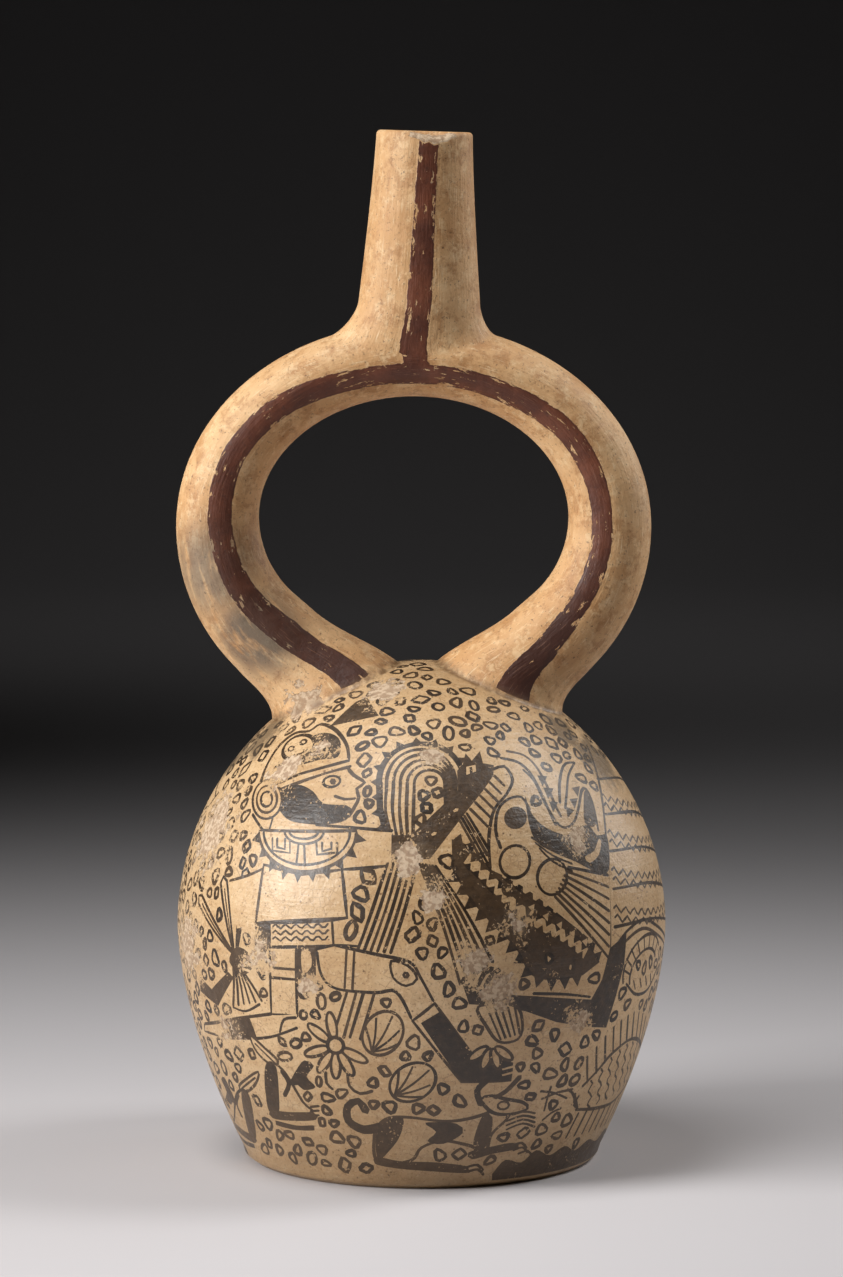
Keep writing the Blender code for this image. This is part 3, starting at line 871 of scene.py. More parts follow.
def paint_big_dog(brush, x, y):
    """A dappled dog with a curled tail that runs to the right with its head up."""
    def at(*points):
        return [(x + px, y + py) for px, py in points]
    body = at((-13, 14), (-10, 19.4), (-4, 20.4), (8, 19), (18, 21), (23.6, 24.6), (25, 20), (19.6, 14),
        (18, 8.4), (13.6, 10.6), (6, 12.6), (0, 10.4), (-3, 6), (-12, 5))
    brush.form(body, 1.0)
    brush.blob(at((-12.6, 13.4), (-9.6, 19.2), (-5, 20), (-6, 14), (-9, 9), (-12, 6)))
    brush.blob(at((1, 18.6), (9.6, 18.2), (11.4, 15), (6, 11.6), (1.6, 12.6), (4, 15.6)))
    brush.blob(at((17, 20.4), (19.8, 19.8), (19, 12), (15.4, 7.6), (14.4, 12)))
    tail = at((-11.4, 17), (-16, 15.8), (-20.4, 18.4), (-20.6, 23), (-17.6, 25), (-15.4, 22))
    brush.curve(tail, 2.6)
    brush.blob(at((-12.4, 7), (-6, 5.8), (4, 5.4), (13, 3.6), (13.4, 1.4), (2, 2.4), (-8, 3.4),
        (-13, 4.6)))
    brush.blob(at((13, 8.4), (18, 9.6), (26, 10.6), (28, 8.4), (20, 7.4), (14, 6)))
    for px, py in ((26, 9.6), (26.4, 8), (12.6, 3.4), (12.8, 1.8), (28, 6.6)):
        brush.stroke(smooth(at((px, py), (px + 3, py + 0.6), (px + 4.6, py - 1.4)), step=1.2), 0.8)
    brush.form(at((16.4, 25.6), (19.6, 26.6), (23, 25.4), (29, 23.6), (30.4, 21.4), (25, 20.2),
        (19.8, 21.2)), 1.0)
    brush.shape(oval((x + 23, y + 23.2), 1.7, 1.3), 0.8)
    brush.curve(at((16.4, 24), (15.4, 28.4), (18, 31.4)), 1.7)
    brush.curve(at((20.6, 26), (23.6, 27.6), (27.8, 31.8)), 1.7)
    for k in range(4):
        brush.curve(at((24, 19.4 - 1.4 * k), (29, 20.6 - 1.3 * k), (33, 19.6 - 1.5 * k)), 0.7)


def paint_arch(brush):
    """Nested arches with beans inside, and a ragged dark crest round them."""
    crest = np.concatenate([straight([(-9.6, 101), (-11.4, 109), (-11.6, 116)]), oval((0, 117),
        11.6, 13, 0, 180, 0)])
    brush.teeth(crest, 2.6, 4.4, 1)
    brush.stroke(crest, 1.7)
    brush.fill(np.concatenate([straight([(-8.6, 100.4), (-10.6, 117)]), oval((0, 117),
        10.8, 12.2, 0, 180, 0), straight([(10.8, 116), (9.6, 103)])]), False)
    for k in range(5):
        left, right = -9.6 + 1.9 * k, 9.4 - 0.75 * k
        half = (right - left) / 2
        brush.stroke(np.concatenate([smooth([(-7.9 + 1.4 * k, 99.6), (left - 0.2, 108), (left, 115)]),
            oval((left + half, 116.6), half, 11.4 - 1.75 * k, 0, 180, 0), straight([(right, 115),
            (right + 0.2, 106)])]), 0.95)
    brush.beans(((2.6, 117.6), (4.4, 113.8), (0.6, 113), (1.4, 109.2), (-0.2, 105.6)), 1.35)


def paint_sleeve(brush):
    """The dark forearm that crosses the arches, its clenched hand, and the ribs it holds apart."""
    brush.patch([(-8.2, 101.2), (-2.8, 101.2), (7.2, 111.4), (10, 114.4), (9.8, 120.6), (11.4, 122.6),
        (12.2, 126.4), (14, 123.8), (16.4, 127), (17.2, 122.8), (20.4, 122), (20.2, 118.6), (16.8, 113.6),
        (12.9, 108.7), (2.4, 94.6), (-8.2, 93.4)])
    brush.wipe([(12.4, 119.2), (15.2, 120.2), (15, 122.4), (12.4, 121.8)])
    brush.patch([(13.4, 119.6), (14.2, 119.8), (14, 121.8), (13.3, 121.6)])
    for x, y in ((-2, 98.2), (3.4, 101.6), (9.4, 108.4)):
        brush.fill(oval((x, y), 0.9, 0.5, 30), False)
    brush.lines([(13.4, 108.6), (20.4, 118.6)], [(18.4, 103.2), (23.4, 115.2)], 6, FINE_LINE)
    brush.lines([(10.4, 105.4), (12.4, 107.4)], [(17.8, 91.4), (18.4, 97)], 4, FINE_LINE)
    brush.lines([(-0.6, 93.2), (3.8, 92.6)], [(10.6, 60), (19.6, 66)], 6, FINE_LINE, 0.02)
    brush.lines([(-9.2, 93.4), (-1.2, 93.2)], [(-17.4, 69.6), (-8.4, 68.8)], 6, FINE_LINE, 0.015)


def paint_beast_head(brush):
    """A sea beast's head: a round eye, two discs, a dark jaw, and a long toothed mouth."""
    head = smooth([(19.4, 91), (18.4, 104), (20.6, 112), (24.6, 117.6), (29, 116.8), (30.6, 111),
        (33, 105.6), (37, 101), (44, 98.8), (52, 100.4), (59.6, 96.8)])
    brush.fill(np.concatenate([head, straight([(59.4, 87), (58.6, 64), (42, 76), (30, 85)])]), False)
    brush.curve([(19, 91.6), (18.6, 100), (20.2, 108), (24, 112.6), (26, 117), (23.6, 121.4),
        (20.2, 120.6)])
    brush.curve([(22, 97), (20.6, 102), (21.4, 108), (24.4, 111), (28.6, 111.4), (31, 107.6)])
    brush.blob([(29.8, 111.6), (31.6, 106.4), (36, 102), (43.6, 99.2), (51.4, 101.2), (55.4, 97.8),
        (60, 97), (59.2, 87.6), (53, 88.2), (46, 91.4), (39, 94.4), (33, 98), (30.6, 103.6)])
    brush.fill(smooth([(49.6, 92.4), (53.4, 93.6), (56, 96.8), (57, 96.2), (55.4, 92.4), (51.4, 90.6)],
        True), False)
    brush.fill(oval((26.6, 105.4), 3.5, 3.3))
    upper = smooth([(24.6, 126.4), (30, 124.6), (34, 120.6), (37.4, 114), (40, 107.6), (41.6, 104.6)])
    rise = smooth([(41.6, 108.6), (42, 113.6), (43.6, 118), (46, 120.2), (50.4, 120)])
    brush.stroke(upper, 0.9)
    brush.stroke(upper - np.array([2.0, 2.2]), 0.9)
    brush.stroke(rise, 0.9)
    lower = smooth([(29.6, 119.8), (33, 116), (36, 109.6), (39.6, 103.4), (43, 101.2), (46.4, 102.6),
        (49, 107), (51, 111.2), (53.4, 111.4), (55.4, 106.6), (56.2, 99)])
    brush.stroke(lower, 0.9)
    brush.curve([(50.4, 120), (46.4, 116.6), (44.4, 110.6), (43.4, 106.8)], 0.8)
    brush.teeth(smooth([(34.6, 118), (37.4, 111.6), (39.4, 106)]), 2.6, 3.4, 1)
    brush.teeth(smooth([(43.6, 104.2), (46.8, 106.6), (50.2, 113)]), 2.6, 3.2, 1)
    brush.blob([(50.6, 102), (52, 110.6), (54.2, 110), (55.6, 101)])
    for x, y, size in ((26.2, 93, 4.5), (37.8, 88, 4.9)):
        brush.shape(oval((x, y), size, size), 0.9)
    for k in range(3):
        brush.stroke(smooth([(31.4 + 1.2 * k, 99.4 - 1.6 * k), (38, 95.6 - 1.7 * k), (44.6, 93 - 2 * k)],
            step=2.4), 0.7)
    brush.lines([(43.2, 90.2), (38.4, 82.6)], [(58.8, 86.4), (58.2, 63.6)], 8, FINE_LINE)


def paint_toothed_band(brush):
    """The beast's crest: two dark bands, saw-toothed on both sides, with a pale row between them."""
    upper = smooth([(8.2, 100), (13, 98), (17, 93), (23, 88.6), (30.6, 83), (38, 78.4), (46, 73.4),
        (54.4, 63)])
    lower = smooth([(48, 60), (39, 59.6), (31, 61.6), (26, 69.6), (19.6, 76), (13, 83.6), (8.4, 91.4)])
    brush.fill(np.concatenate([upper, lower]))
    brush.teeth(upper, 2.4, 3.7, 1)
    brush.teeth(lower, 3.0, 4.2, 1)
    row = smooth([(12.4, 94.6), (18.6, 88.4), (26, 80.8), (34, 75.4), (43, 70.6), (49, 66)])
    brush.fill(np.concatenate([row + np.array([0.9, 1.3]), (row - np.array([0.9, 1.3]))[::-1]]), False)
    brush.teeth(row + np.array([0.9, 1.3]), 1.7, 3.4, -1)
    brush.teeth(row - np.array([0.9, 1.3]), 1.5, 3.1, 1)
    brush.beans(((22.6, 76.8), (29, 70.4), (36.4, 65.8), (43.6, 62.8), (31, 78.6), (24, 85.4)), 1.2)
    for k in range(5):
        x, y = 30 + 4.4 * k, 80.6 - 2.7 * k
        brush.wipe([(x, y - 0.2), (x + 1.9, y + 0.4), (x + 1.6, y - 1.9)])


def paint_beast_arm(brush):
    """The beast's bent dark limb and the tassel that hangs from its hand."""
    brush.patch([(11, 60.6), (20.6, 57), (32, 55.6), (51.4, 52.6), (55.6, 58), (58.6, 66.4), (66.4, 69.6),
        (65.4, 61), (62, 52), (58.4, 43.2), (50, 44.6), (39, 47.4), (29.4, 51.4), (20.6, 53.6),
        (13, 54.4)])
    brush.curve([(31.6, 56.4), (42, 55.2), (51, 53.4)], 0.8)
    for k in range(4):
        x, y = 11 + 2.2 * k, 60.4 - 0.4 * k
        brush.stroke(smooth([(x, y), (x + 1.8, y + 3.4), (x + 4, y + 4.6)], step=2.4), 1.4)
    brush.form([(15.6, 53.6), (26, 53.4), (28.4, 47.6), (27, 43.4), (21.6, 43), (18, 47.6)])
    brush.lines([(18, 53.2), (26, 53)], [(22, 43.6), (27.6, 45)], 5, 0.7)
    brush.petals((19.4, 42.4), 4.6, (215, 250, 285, 320), 3.2, 1.3)


def paint_beast_body(brush):
    """The beast's long body: a straight front edge, then rows of plain and wiggling lines."""
    brush.wipe([(62, 122), (59.4, 88), (58.6, 62), (66, 67.6), (76, 69.6), (88, 66), (104, 60),
        (104, 108), (86, 114)])
    brush.curve([(62.4, 124), (60.6, 108), (59.4, 96), (58.8, 80), (58.6, 62)], 1.0)
    for k in range(9):
        left = (60.6, 113.6 - 5.2 * k)
        right = (104, 105.6 - 4.7 * k)
        if k % 2:
            brush.stroke(wave(left, right, 0.9, 4.6, 1.5), 0.75)
            brush.stroke(wave((61, left[1] - 2.6), (104, right[1] - 2.35), 0.9, 4.8, 1.5), 0.75)
        else:
            brush.stroke(smooth([left, (82, (left[1] + right[1]) / 2 + 1.5), right], step=3), 0.9)
    brush.curve([(104, 107), (105.4, 96), (105.4, 76), (104, 61)], 1.0)
    for lift in (0.0, 2.4):
        brush.stroke(smooth([(59.4, 62.6 + lift), (66, 67.4 + lift), (76, 69.6 + lift), (88, 66 + lift),
            (104, 60 + lift)], step=2.4), 0.9)


def paint_feather(brush, x, y):
    """A curved feather with ribs between its two edges."""
    for size, lift in ((13, 0.0), (9.4, -1.4)):
        brush.stroke(oval((x + 12, y + lift), size, size * 0.72, 8, 185, 20), 0.9)
    for k in range(8):
        turn = math.radians(172 - 19 * k)
        near = np.array([x + 12 + 9.4 * math.cos(turn), y - 1.4 + 6.8 * math.sin(turn)])
        far = np.array([x + 12 + 13 * math.cos(turn), y + 9.4 * math.sin(turn)])
        brush.stroke([near, (near + far) / 2, far], 0.7)
    brush.curve([(x + 1, y - 3), (x + 7, y - 7), (x + 16, y - 7), (x + 24, y - 2)])
    for k in range(4):
        brush.curve([(x + 5 + 4 * k, y - 2.6), (x + 6.4 + 4 * k, y - 5.4)], 0.7)


def paint_tail(brush):
    """The beast's fringed tail, with upright wiggles between its two edges."""
    upper = smooth([(50, 26), (56, 30), (63, 34.6), (74, 37), (86, 33), (96, 25)])
    lower = smooth([(48, 18.6), (58, 17.2), (68, 17), (78, 19.6), (88, 23.6)])
    brush.fill(np.concatenate([upper, lower[::-1]]), False)
    for k in range(8):
        x = 53.4 + 4.4 * k
        top = np.interp(x, upper[:, 0], upper[:, 1]) - 1
        brush.stroke(wave((x, top), (x + 0.6, 18.2 + 0.5 * k), 0.9, 4.4), 0.75)
    brush.stroke(upper, 1.1)
    brush.stroke(lower, 1.1)
    for k in range(11):
        x = 51.4 + 3.7 * k
        low = np.interp(x, upper[:, 0], upper[:, 1])
        brush.curve([(x + 0.6, low), (x, low + 4), (x - 0.4, low + 8.4)])
        brush.curve([(x - 2, 17.2), (x - 4.4, 13), (x - 6.4, 9.4)])
    for k in range(4):
        brush.curve([(44 + 1.6 * k, 26 - k), (47, 23.4 - k), (48.6, 19)], 0.8)


def paint_rays(brush):
    """Crossing rays beside the dog's head."""
    for ray in ((34.6, 26.6, 44, 23), (35, 24, 46, 25.6), (36, 20, 38, 27.6), (35.6, 17, 42, 20)):
        start, end = ray[:2], ray[2:]
        brush.curve([start, ((start[0] + end[0]) / 2, (start[1] + end[1]) / 2 + 0.6), end], 0.8)


def paint_ground(brush):
    """The scalloped dark ground under the beast's tail."""
    top = [(20, 0.4), (24, 5), (29, 3.4), (34, 7), (39, 4.4), (45, 6.6), (50, 4), (57, 6.4), (63, 4.6),
        (70, 7.4), (78, 4), (86, 6), (92, 0.4)]
    brush.fill(np.concatenate([smooth(top), straight([(92, -1.6), (20, -1.6)])]))


def paint_scene(turn, seed):
    """One half of the painting: a fighter, a sea beast and their dogs."""
    brush = Brush(turn, seed)
    paint_beast_body(brush)
    paint_toothed_band(brush)
    paint_beast_head(brush)
    paint_arch(brush)
    paint_hand(brush)
    paint_headdress(brush)
    paint_head(brush)
    paint_tunic(brush)
    paint_pectoral(brush)
    paint_legs(brush)
    paint_ribbon_flower(brush)
    paint_beast_arm(brush)
    paint_sleeve(brush)
    paint_feather(brush, 66, 58)
    paint_tail(brush)
    paint_shell(brush, (-10.6, 46), 6.8, 62)
    paint_shell(brush, (-2.4, 31.4), 6.9, 40)
    paint_small_dog(brush, -43, 15)
    paint_small_dog(brush, -60, 4, -1)
    paint_big_dog(brush, 0, 0)
    paint_rays(brush)
    paint_ground(brush)
    return brush.marks


def surface_tree(loops):
    """A tree of the points along some flat loops, for measuring clearances."""
    points = OUTER_WALL.surface(np.concatenate(loops))
    tree = KDTree(len(points))
    for number, point in enumerate(points):
        tree.insert(point, number)
    tree.balance()
    return tree


def scatter_beans(marks, leg_loops):
    """Fills all the free ground with beans that keep clear of the figures and of each other."""
    tree = surface_tree([mark.loop for mark in marks])
    legs = surface_tree(leg_loops)
    shapes = [mark.loop for mark in marks] + leg_loops
    lows = np.array([loop.min(axis=0) for loop in shapes])
    highs = np.array([loop.max(axis=0) for loop in shapes])
    brush = Brush(0.0, 29)
    placed = np.full((1, 3), 1e6)
    sizes = np.zeros(1)
    for _ in range(BEAN_TRIES):
        height = brush.random.uniform(2.6, OUTER_WALL.foot_reach - 4)
        radius = OUTER_WALL.radius(OUTER_WALL.foot_reach - height)
        brush.turn = brush.random.uniform(-math.pi, math.pi)
        if brush.random.random() > radius / BELLY_RADIUS:
            continue
        flat = brush.spot(0.0, height)
        point = OUTER_WALL.surface(flat)[0]
        to_bean = np.min((np.linalg.norm(placed - point, axis=1) - BEAN_GAP) / 1.15 - sizes)
        to_figure = (tree.find(point)[2] - BEAN_GAP_TO_FIGURE) / 1.2
        to_leg = (legs.find(point)[2] - BEAN_GAP_TO_LEG) / 1.5
        size = min(brush.random.uniform(*BEAN_SIZES), to_bean, to_figure, to_leg)
        if size < BEAN_LEAST:
            continue
        around = np.flatnonzero(np.all((lows <= flat) & (flat <= highs), axis=1))
        if any(inside_loop(flat, shapes[k])[0] for k in around):
            continue
        placed = np.vstack([placed, point])
        sizes = np.append(sizes, size)
        brush.bean(0.0, height, size)
    return brush.marks


# Building the chamber


def chamber_spare(wall, step, holes, clearance):
    """Evenly spread flat points on the chamber, clear of the holes."""
    rows = []
    reach = step / 2
    index = 0
    while reach < wall.length - step / 2:
        girth = TAU * max(wall.radius(reach), 1.0)
        count = max(int(girth / step), 5)
        turn = np.arange(count) * TAU / count + (index % 2) * math.pi / count
        spread = wall.spread(reach)
        rows.append(np.column_stack([spread * np.sin(turn), -spread * np.cos(turn)]))
        reach += step
        index += 1
    return away_from(np.concatenate(rows), holes, clearance)


def chamber_loop(wall, count):
    turn = np.array(turns_of(count))
    spread = wall.spread(wall.length)
    return np.column_stack([spread * np.sin(turn), -spread * np.cos(turn)])


def chamber_places(wall, flat):
    """For each flat point, its angle round the chamber from the front and its reach."""
    angle = np.arctan2(flat[:, 0], -flat[:, 1])
    return list(zip(angle.tolist(), wall.reach(flat).tolist()))


def build_chamber_outside(skin):
    """The painted outside. Returns the point numbers of its rim loop and of both leg loops."""
    rim = chamber_loop(OUTER_WALL, FOOT_POINTS)
    turns = turns_of(LEG_SIDES)
    legs = []
    for side in (-1, 1):
        foot = [leg_foot_point(side, turn) for turn in turns]
        legs.append(np.array([OUTER_WALL.flat(point.x, point.y) for point in foot]))
    rounds = [anticlockwise(leg) for leg in legs]
    fillets = [
        offset_loop(leg, distance * OUTER_WALL.scale(leg)[:, None])
        for leg in rounds
        for distance in LEG_RINGS
    ]
    marks = paint_scene(0.0, 11) + paint_scene(math.pi, 12)
    marks += scatter_beans(marks, rounds)
    spare = chamber_spare(OUTER_WALL, SKIN_STEP, rounds, LEG_CLEARANCE)
    spare = np.concatenate([spare] + fillets)
    lines = [mark.loop for mark in marks]
    flat, triangles, numbers = triangulate([rim] + legs, lines, spare)
    triangles, centres = kept_triangles(flat, triangles, rim, rounds)
    crease = np.full(len(flat), NO_CREASE)
    for leg in legs:
        near = np.flatnonzero(np.linalg.norm(flat - leg.mean(axis=0), axis=1) < NEAR_LEG)
        gap = np.linalg.norm(flat[near][:, None] - leg[None], axis=2).min(axis=1)
        crease[near] = np.minimum(crease[near], gap)
    names = skin.add_points(OUTER_WALL.surface(flat), crease=crease)
    for name, normal in zip(names, OUTER_WALL.normals(flat)):
        skin.normals[name] = tuple(normal)
    places = chamber_places(OUTER_WALL, flat)
    paint, tone = painted(centres, marks)
    for corners, dark, shade in zip(triangles.tolist(), paint.tolist(), tone.tolist()):
        spots = [places[k] for k in corners]
        skin.add_face(tuple(names[k] for k in corners), spots, "chamber", dark, shade)
    loops = [[names[k] for k in loop] for loop in numbers]
    return loops[0], loops[1:]


def painted(centres, marks):
    """Whether each centre is under dark paint, and its tone. The last mark over it decides."""
    paint = np.zeros(len(centres), int)
    tone = np.full(len(centres), 0.5)
    for mark in marks:
        near = within_box(centres, mark.loop)
        under = near[inside_loop(centres[near], mark.loop) != 0]
        paint[under] = int(mark.dark)
        tone[under] = mark.tone
    return paint, tone


def build_underside(skin, rim_names):
    """The flat disc that the vessel stands on, inside the painted skin's edge."""
    turns = turns_of(FOOT_POINTS)
    edge = OUTER_WALL.radii[-1]
    rings = [rim_names]
    radii = [edge]
    for share in (0.85, 0.62, 0.35, 0.12):
        radius = edge * share
        points = [(radius * math.sin(turn), -radius * math.cos(turn), 0) for turn in turns]
        rings.append(skin.add_points(points))
        radii.append(radius)
    skin.loft(rings, "underside", turns, radii)
    skin.close(rings[-1], (0, 0, 0), "underside", turns, radii[-1])


def band_distance(run, turn):
    """How far inside the brown band a point of the stirrup lies, in millimetres.

    The band runs along the front and along the back, below the tube's middle on the arch, and the
    spout's stripe comes down to it.
    """
    share = abs(run) / STIRRUP.length
    shares, centres, halves = BAND_ON_LEFT if run < 0 else BAND_ON_RIGHT
    turn = abs(math.remainder(turn, TAU))
    girth = np.interp(share, (0, 0.5, 1, 1.12), (TUBE_DEPTH_TOP, TUBE_DEPTH_TOP, TUBE_RADIUS_LEG, 18))
    centre = math.radians(np.interp(share, shares, centres))
    inside = np.interp(share, shares, halves) - abs(turn - centre) * girth
    if math.radians(50) < turn < centre:
        inside = max(inside, 3.4 - abs(run - 0.4))
    return inside


def tube_sheet(runs, sides, girth, hole, clearance, stagger=0.0, spare_rings=()):
    """The stirrup's tube rolled out flat, as (run, length round it), with the hole under the spout.

    Its points keep the clearance from the hole, apart from the spare rings, which are given by
    their distances from it. Every other row is shifted by the stagger, as a share of a step.
    Returns the flat points, the triangles, and the numbers of the hole's points.
    """
    edge = math.pi * girth
    border = [(runs[0], edge - TAU * girth * k / sides) for k in range(sides + 1)]
    border += [(run, -edge) for run in runs[1:-1]]
    border += [(runs[-1], -edge + TAU * girth * k / sides) for k in range(sides + 1)]
    border += [(run, edge) for run in runs[-2:0:-1]]
    border = np.array(border)
    inner = [
        (run, -edge + TAU * girth * (k + stagger * (index % 2)) / sides)
        for index, run in enumerate(runs[1:-1])
        for k in range(1, sides)
    ]
    hole = np.array([(run, wrap * girth) for run, wrap in hole])
    rounded = anticlockwise(hole)
    spare = [away_from(np.array(inner), [rounded], clearance)]
    spare += [offset_loop(rounded, distance) for distance in spare_rings]
    flat, triangles, numbers = triangulate([border, hole], [], np.concatenate(spare))
    return flat, kept_triangles(flat, triangles, border, [rounded])[0], numbers[1]


def add_tube(skin, flat, triangles, names, girth, patch):
    """Joins the sheet along its seam and adds its faces."""
    join_seam(flat, names, math.pi * girth)
    for corners in triangles.tolist():
        places = [(flat[k, 1] / girth, flat[k, 0]) for k in corners]
        skin.add_face(tuple(names[k] for k in corners), places, patch)


def end_ring(flat, names, end, sides, girth):
    """The point numbers round one end of the tube, in the order of their turns."""
    found = {
        round(flat[k, 1] / girth * sides / TAU) % sides: names[k]
        for k in np.flatnonzero(np.abs(flat[:, 0] - end) < 1e-4)
    }
    return [found[k] for k in range(sides)]


def stirrup_runs(steps):
    return [STIRRUP.length * k / steps for k in range(-steps, steps + 1)]


def build_stirrup_outside(skin, leg_loops):
    """The tube, with its flares down to the leg loops. Returns the loop for the spout's foot."""
    girth = TUBE_DEPTH_TOP
    runs = stirrup_runs(int(STIRRUP.length / STIRRUP_STEP))
    hole = [spout_foot_place(turn, SPOUT_FOOT_ANGLE, SPOUT_FOOT_WRAP) for turn in turns_of(SPOUT_SIDES)]
    sheet = tube_sheet(runs, LEG_SIDES, girth, hole, 1.4, stagger=0.5, spare_rings=(0.9, 2.0))
    flat, triangles, hole_numbers = sheet
    turn = flat[:, 1] / girth
    band = [band_distance(run, angle) for run, angle in zip(flat[:, 0], turn)]
    names = skin.add_points(STIRRUP.surface(flat[:, 0], turn), band=band, stirrup=1.0)
    add_tube(skin, flat, triangles, names, girth, "stirrup")
    for side, leg_names in zip((-1, 1), leg_loops):
        rings = [end_ring(flat, names, side * STIRRUP.length, LEG_SIDES, girth)]
        build_leg_flare(skin, side, rings, leg_names)
    return [names[k] for k in hole_numbers]


def build_leg_flare(skin, side, rings, leg_names):
    """The flare from the tube's end ring down to the loop of the leg's foot."""
    sides = turns_of(LEG_SIDES)
    shares = [step / FLARE_STEPS for step in range(FLARE_STEPS + 1)]
    for share in shares[1:-1]:
        ring = [flare_point(side, turn, share) for turn in sides]
        run = side * STIRRUP.length + side * FLARE_RUN * share
        band = [band_distance(run, turn) for turn in sides]
        crease = (FLARE_RUN - 2) * (1 - share)
        rings.append(skin.add_points(ring, band=band, stirrup=1.0, crease=crease))
    first = len(skin.faces)
    alongs = [side * (STIRRUP.length + FLARE_RUN * share) for share in shares]
    skin.loft(rings + [leg_names], "stirrup", sides, alongs)
    if side == -1:
        skin.flip_from(first)


def join_seam(flat, names, edge):
    """Gives the points on one side of a tube's seam the numbers of those on the other side."""
    low = {round(flat[k, 0], 4): names[k] for k in np.flatnonzero(np.abs(flat[:, 1] + edge) < 1e-4)}
    for k in np.flatnonzero(np.abs(flat[:, 1] - edge) < 1e-4):
        names[k] = low[round(flat[k, 0], 4)]


def spout_band(turn, down):
    """How far inside the spout's brown stripe a point lies. The stripe is on the front and the back."""
    share = min(max(down / spout_length(), 0.0), 1.2)
    across = RIM_RADIUS * (1 + 0.2 * share) * math.cos(turn) - (1.3 - 1.4 * share)
    return min(2.7 + 0.6 * share - abs(across), down - 0.6)


def build_spout_outside(skin, foot_names):
    """The spout from its foot up to the rim and over its lip. Returns the last ring, in the bore."""
    turns = turns_of(SPOUT_SIDES)
    rings = [foot_names]
    alongs = [spout_length() + SPOUT_FLARE_RUN]
    for step in range(1, FLARE_STEPS):
        share = 1 - step / FLARE_STEPS
        down = spout_length() + SPOUT_FLARE_RUN * share
        points = [spout_flare_point(turn, share) for turn in turns]
        band = [spout_band(turn, down) for turn in turns]
        rings.append(skin.add_points(points, band=band, stirrup=1.0))
        alongs.append(down)
    for step in range(SPOUT_STEPS + 1):
        share = 1 - step / SPOUT_STEPS
        down = RIM_ROUNDING + (spout_length() - RIM_ROUNDING) * share
        across = RIM_RADIUS + (SPOUT_BASE_RADIUS - RIM_RADIUS) * share**SPOUT_TAPER_POWER
        depth = RIM_RADIUS + (SPOUT_BASE_DEPTH - RIM_RADIUS) * share
        worn = [chip_drop(turn, 1.0) * max(1 - (down - RIM_ROUNDING) / 5.0, 0) for turn in turns]
        points = [spout_point(down + w, across, depth, turn) for turn, w in zip(turns, worn)]
        band = [spout_band(turn, down) for turn in turns]
        rings.append(skin.add_points(points, band=band, stirrup=1.0))
        alongs.append(down)
    along = RIM_ROUNDING
    for inward, down in lip_profile():
        outset = 1 - inward / RIM_WALL
        points = [
            spout_point(down + chip_drop(turn, outset), RIM_RADIUS - inward, RIM_RADIUS - inward, turn)
            for turn in turns
        ]
        along -= 0.6
        rings.append(skin.add_points(points, stirrup=1.0))
        alongs.append(along)
    first = len(skin.faces)
    skin.loft(rings, "spout", turns, alongs)
    skin.flip_from(first)
    return rings[-1]


def lip_profile():
    """The lip's section, as (distance in from the outside, distance below the rim)."""
    outer = [
        (RIM_ROUNDING * (1 - math.cos(a)), RIM_ROUNDING * (1 - math.sin(a)))
        for a in (0.4, 0.8, 1.2, math.pi / 2)
    ]
    middle = [(RIM_WALL / 2, 0.0)]
    inner = [
        (RIM_WALL - RIM_ROUNDING * (1 - math.sin(a)), RIM_ROUNDING * (1 - math.cos(a)))
        for a in (0.0, 0.5, 1.0, math.pi / 2)
    ]
    return outer + middle + inner


def build_bore(skin, lip_names):
    """The unseen inside: the spout's bore, the stirrup's bore and the chamber's hollow."""
    first = len(skin.faces)
    turns = turns_of(SPOUT_SIDES)
    top = RIM_RADIUS - RIM_WALL
    low = TUBE_DEPTH_TOP - TUBE_WALL + 0.5
    rings = [lip_names]
    alongs = [RIM_ROUNDING]
    for step in range(1, BORE_STEPS + 1):
        share = step / BORE_STEPS
        down = RIM_ROUNDING + (spout_length() - RIM_ROUNDING) * share
        radius = top + (low - top) * share
        points = [spout_point(down, radius, radius, turn) for turn in turns]
        rings.append(skin.add_points(points, stirrup=1.0))
        alongs.append(down)
    hole_places = [spout_foot_place(turn, BORE_FOOT_ANGLE, BORE_FOOT_WRAP) for turn in turns]
    hole = [STIRRUP.point(run, turn, TUBE_WALL) for run, turn in hole_places]
    hole_names = skin.add_points(hole, stirrup=1.0)
    rings.append(hole_names)
    alongs.append(spout_length() + SPOUT_FLARE_RUN)
    skin.loft(rings, "spout_bore", turns, alongs)
    skin.flip_from(first)
    leg_names, leg_loops = build_stirrup_bore(skin, hole_places, hole_names)
    build_chamber_hollow(skin, leg_names, leg_loops)


def bore_end(side, turn):
    """Where a line down the leg's bore meets the chamber's inner face."""
    start = STIRRUP.point(side * STIRRUP.length, turn, TUBE_WALL)
    near, far = 0.0, 40.0
    for _ in range(30):
        middle = (near + far) / 2
        if INNER_WALL.holds(start + STIRRUP.down_leg(side) * middle):
            far = middle
        else:
            near = middle
    return start + STIRRUP.down_leg(side) * near


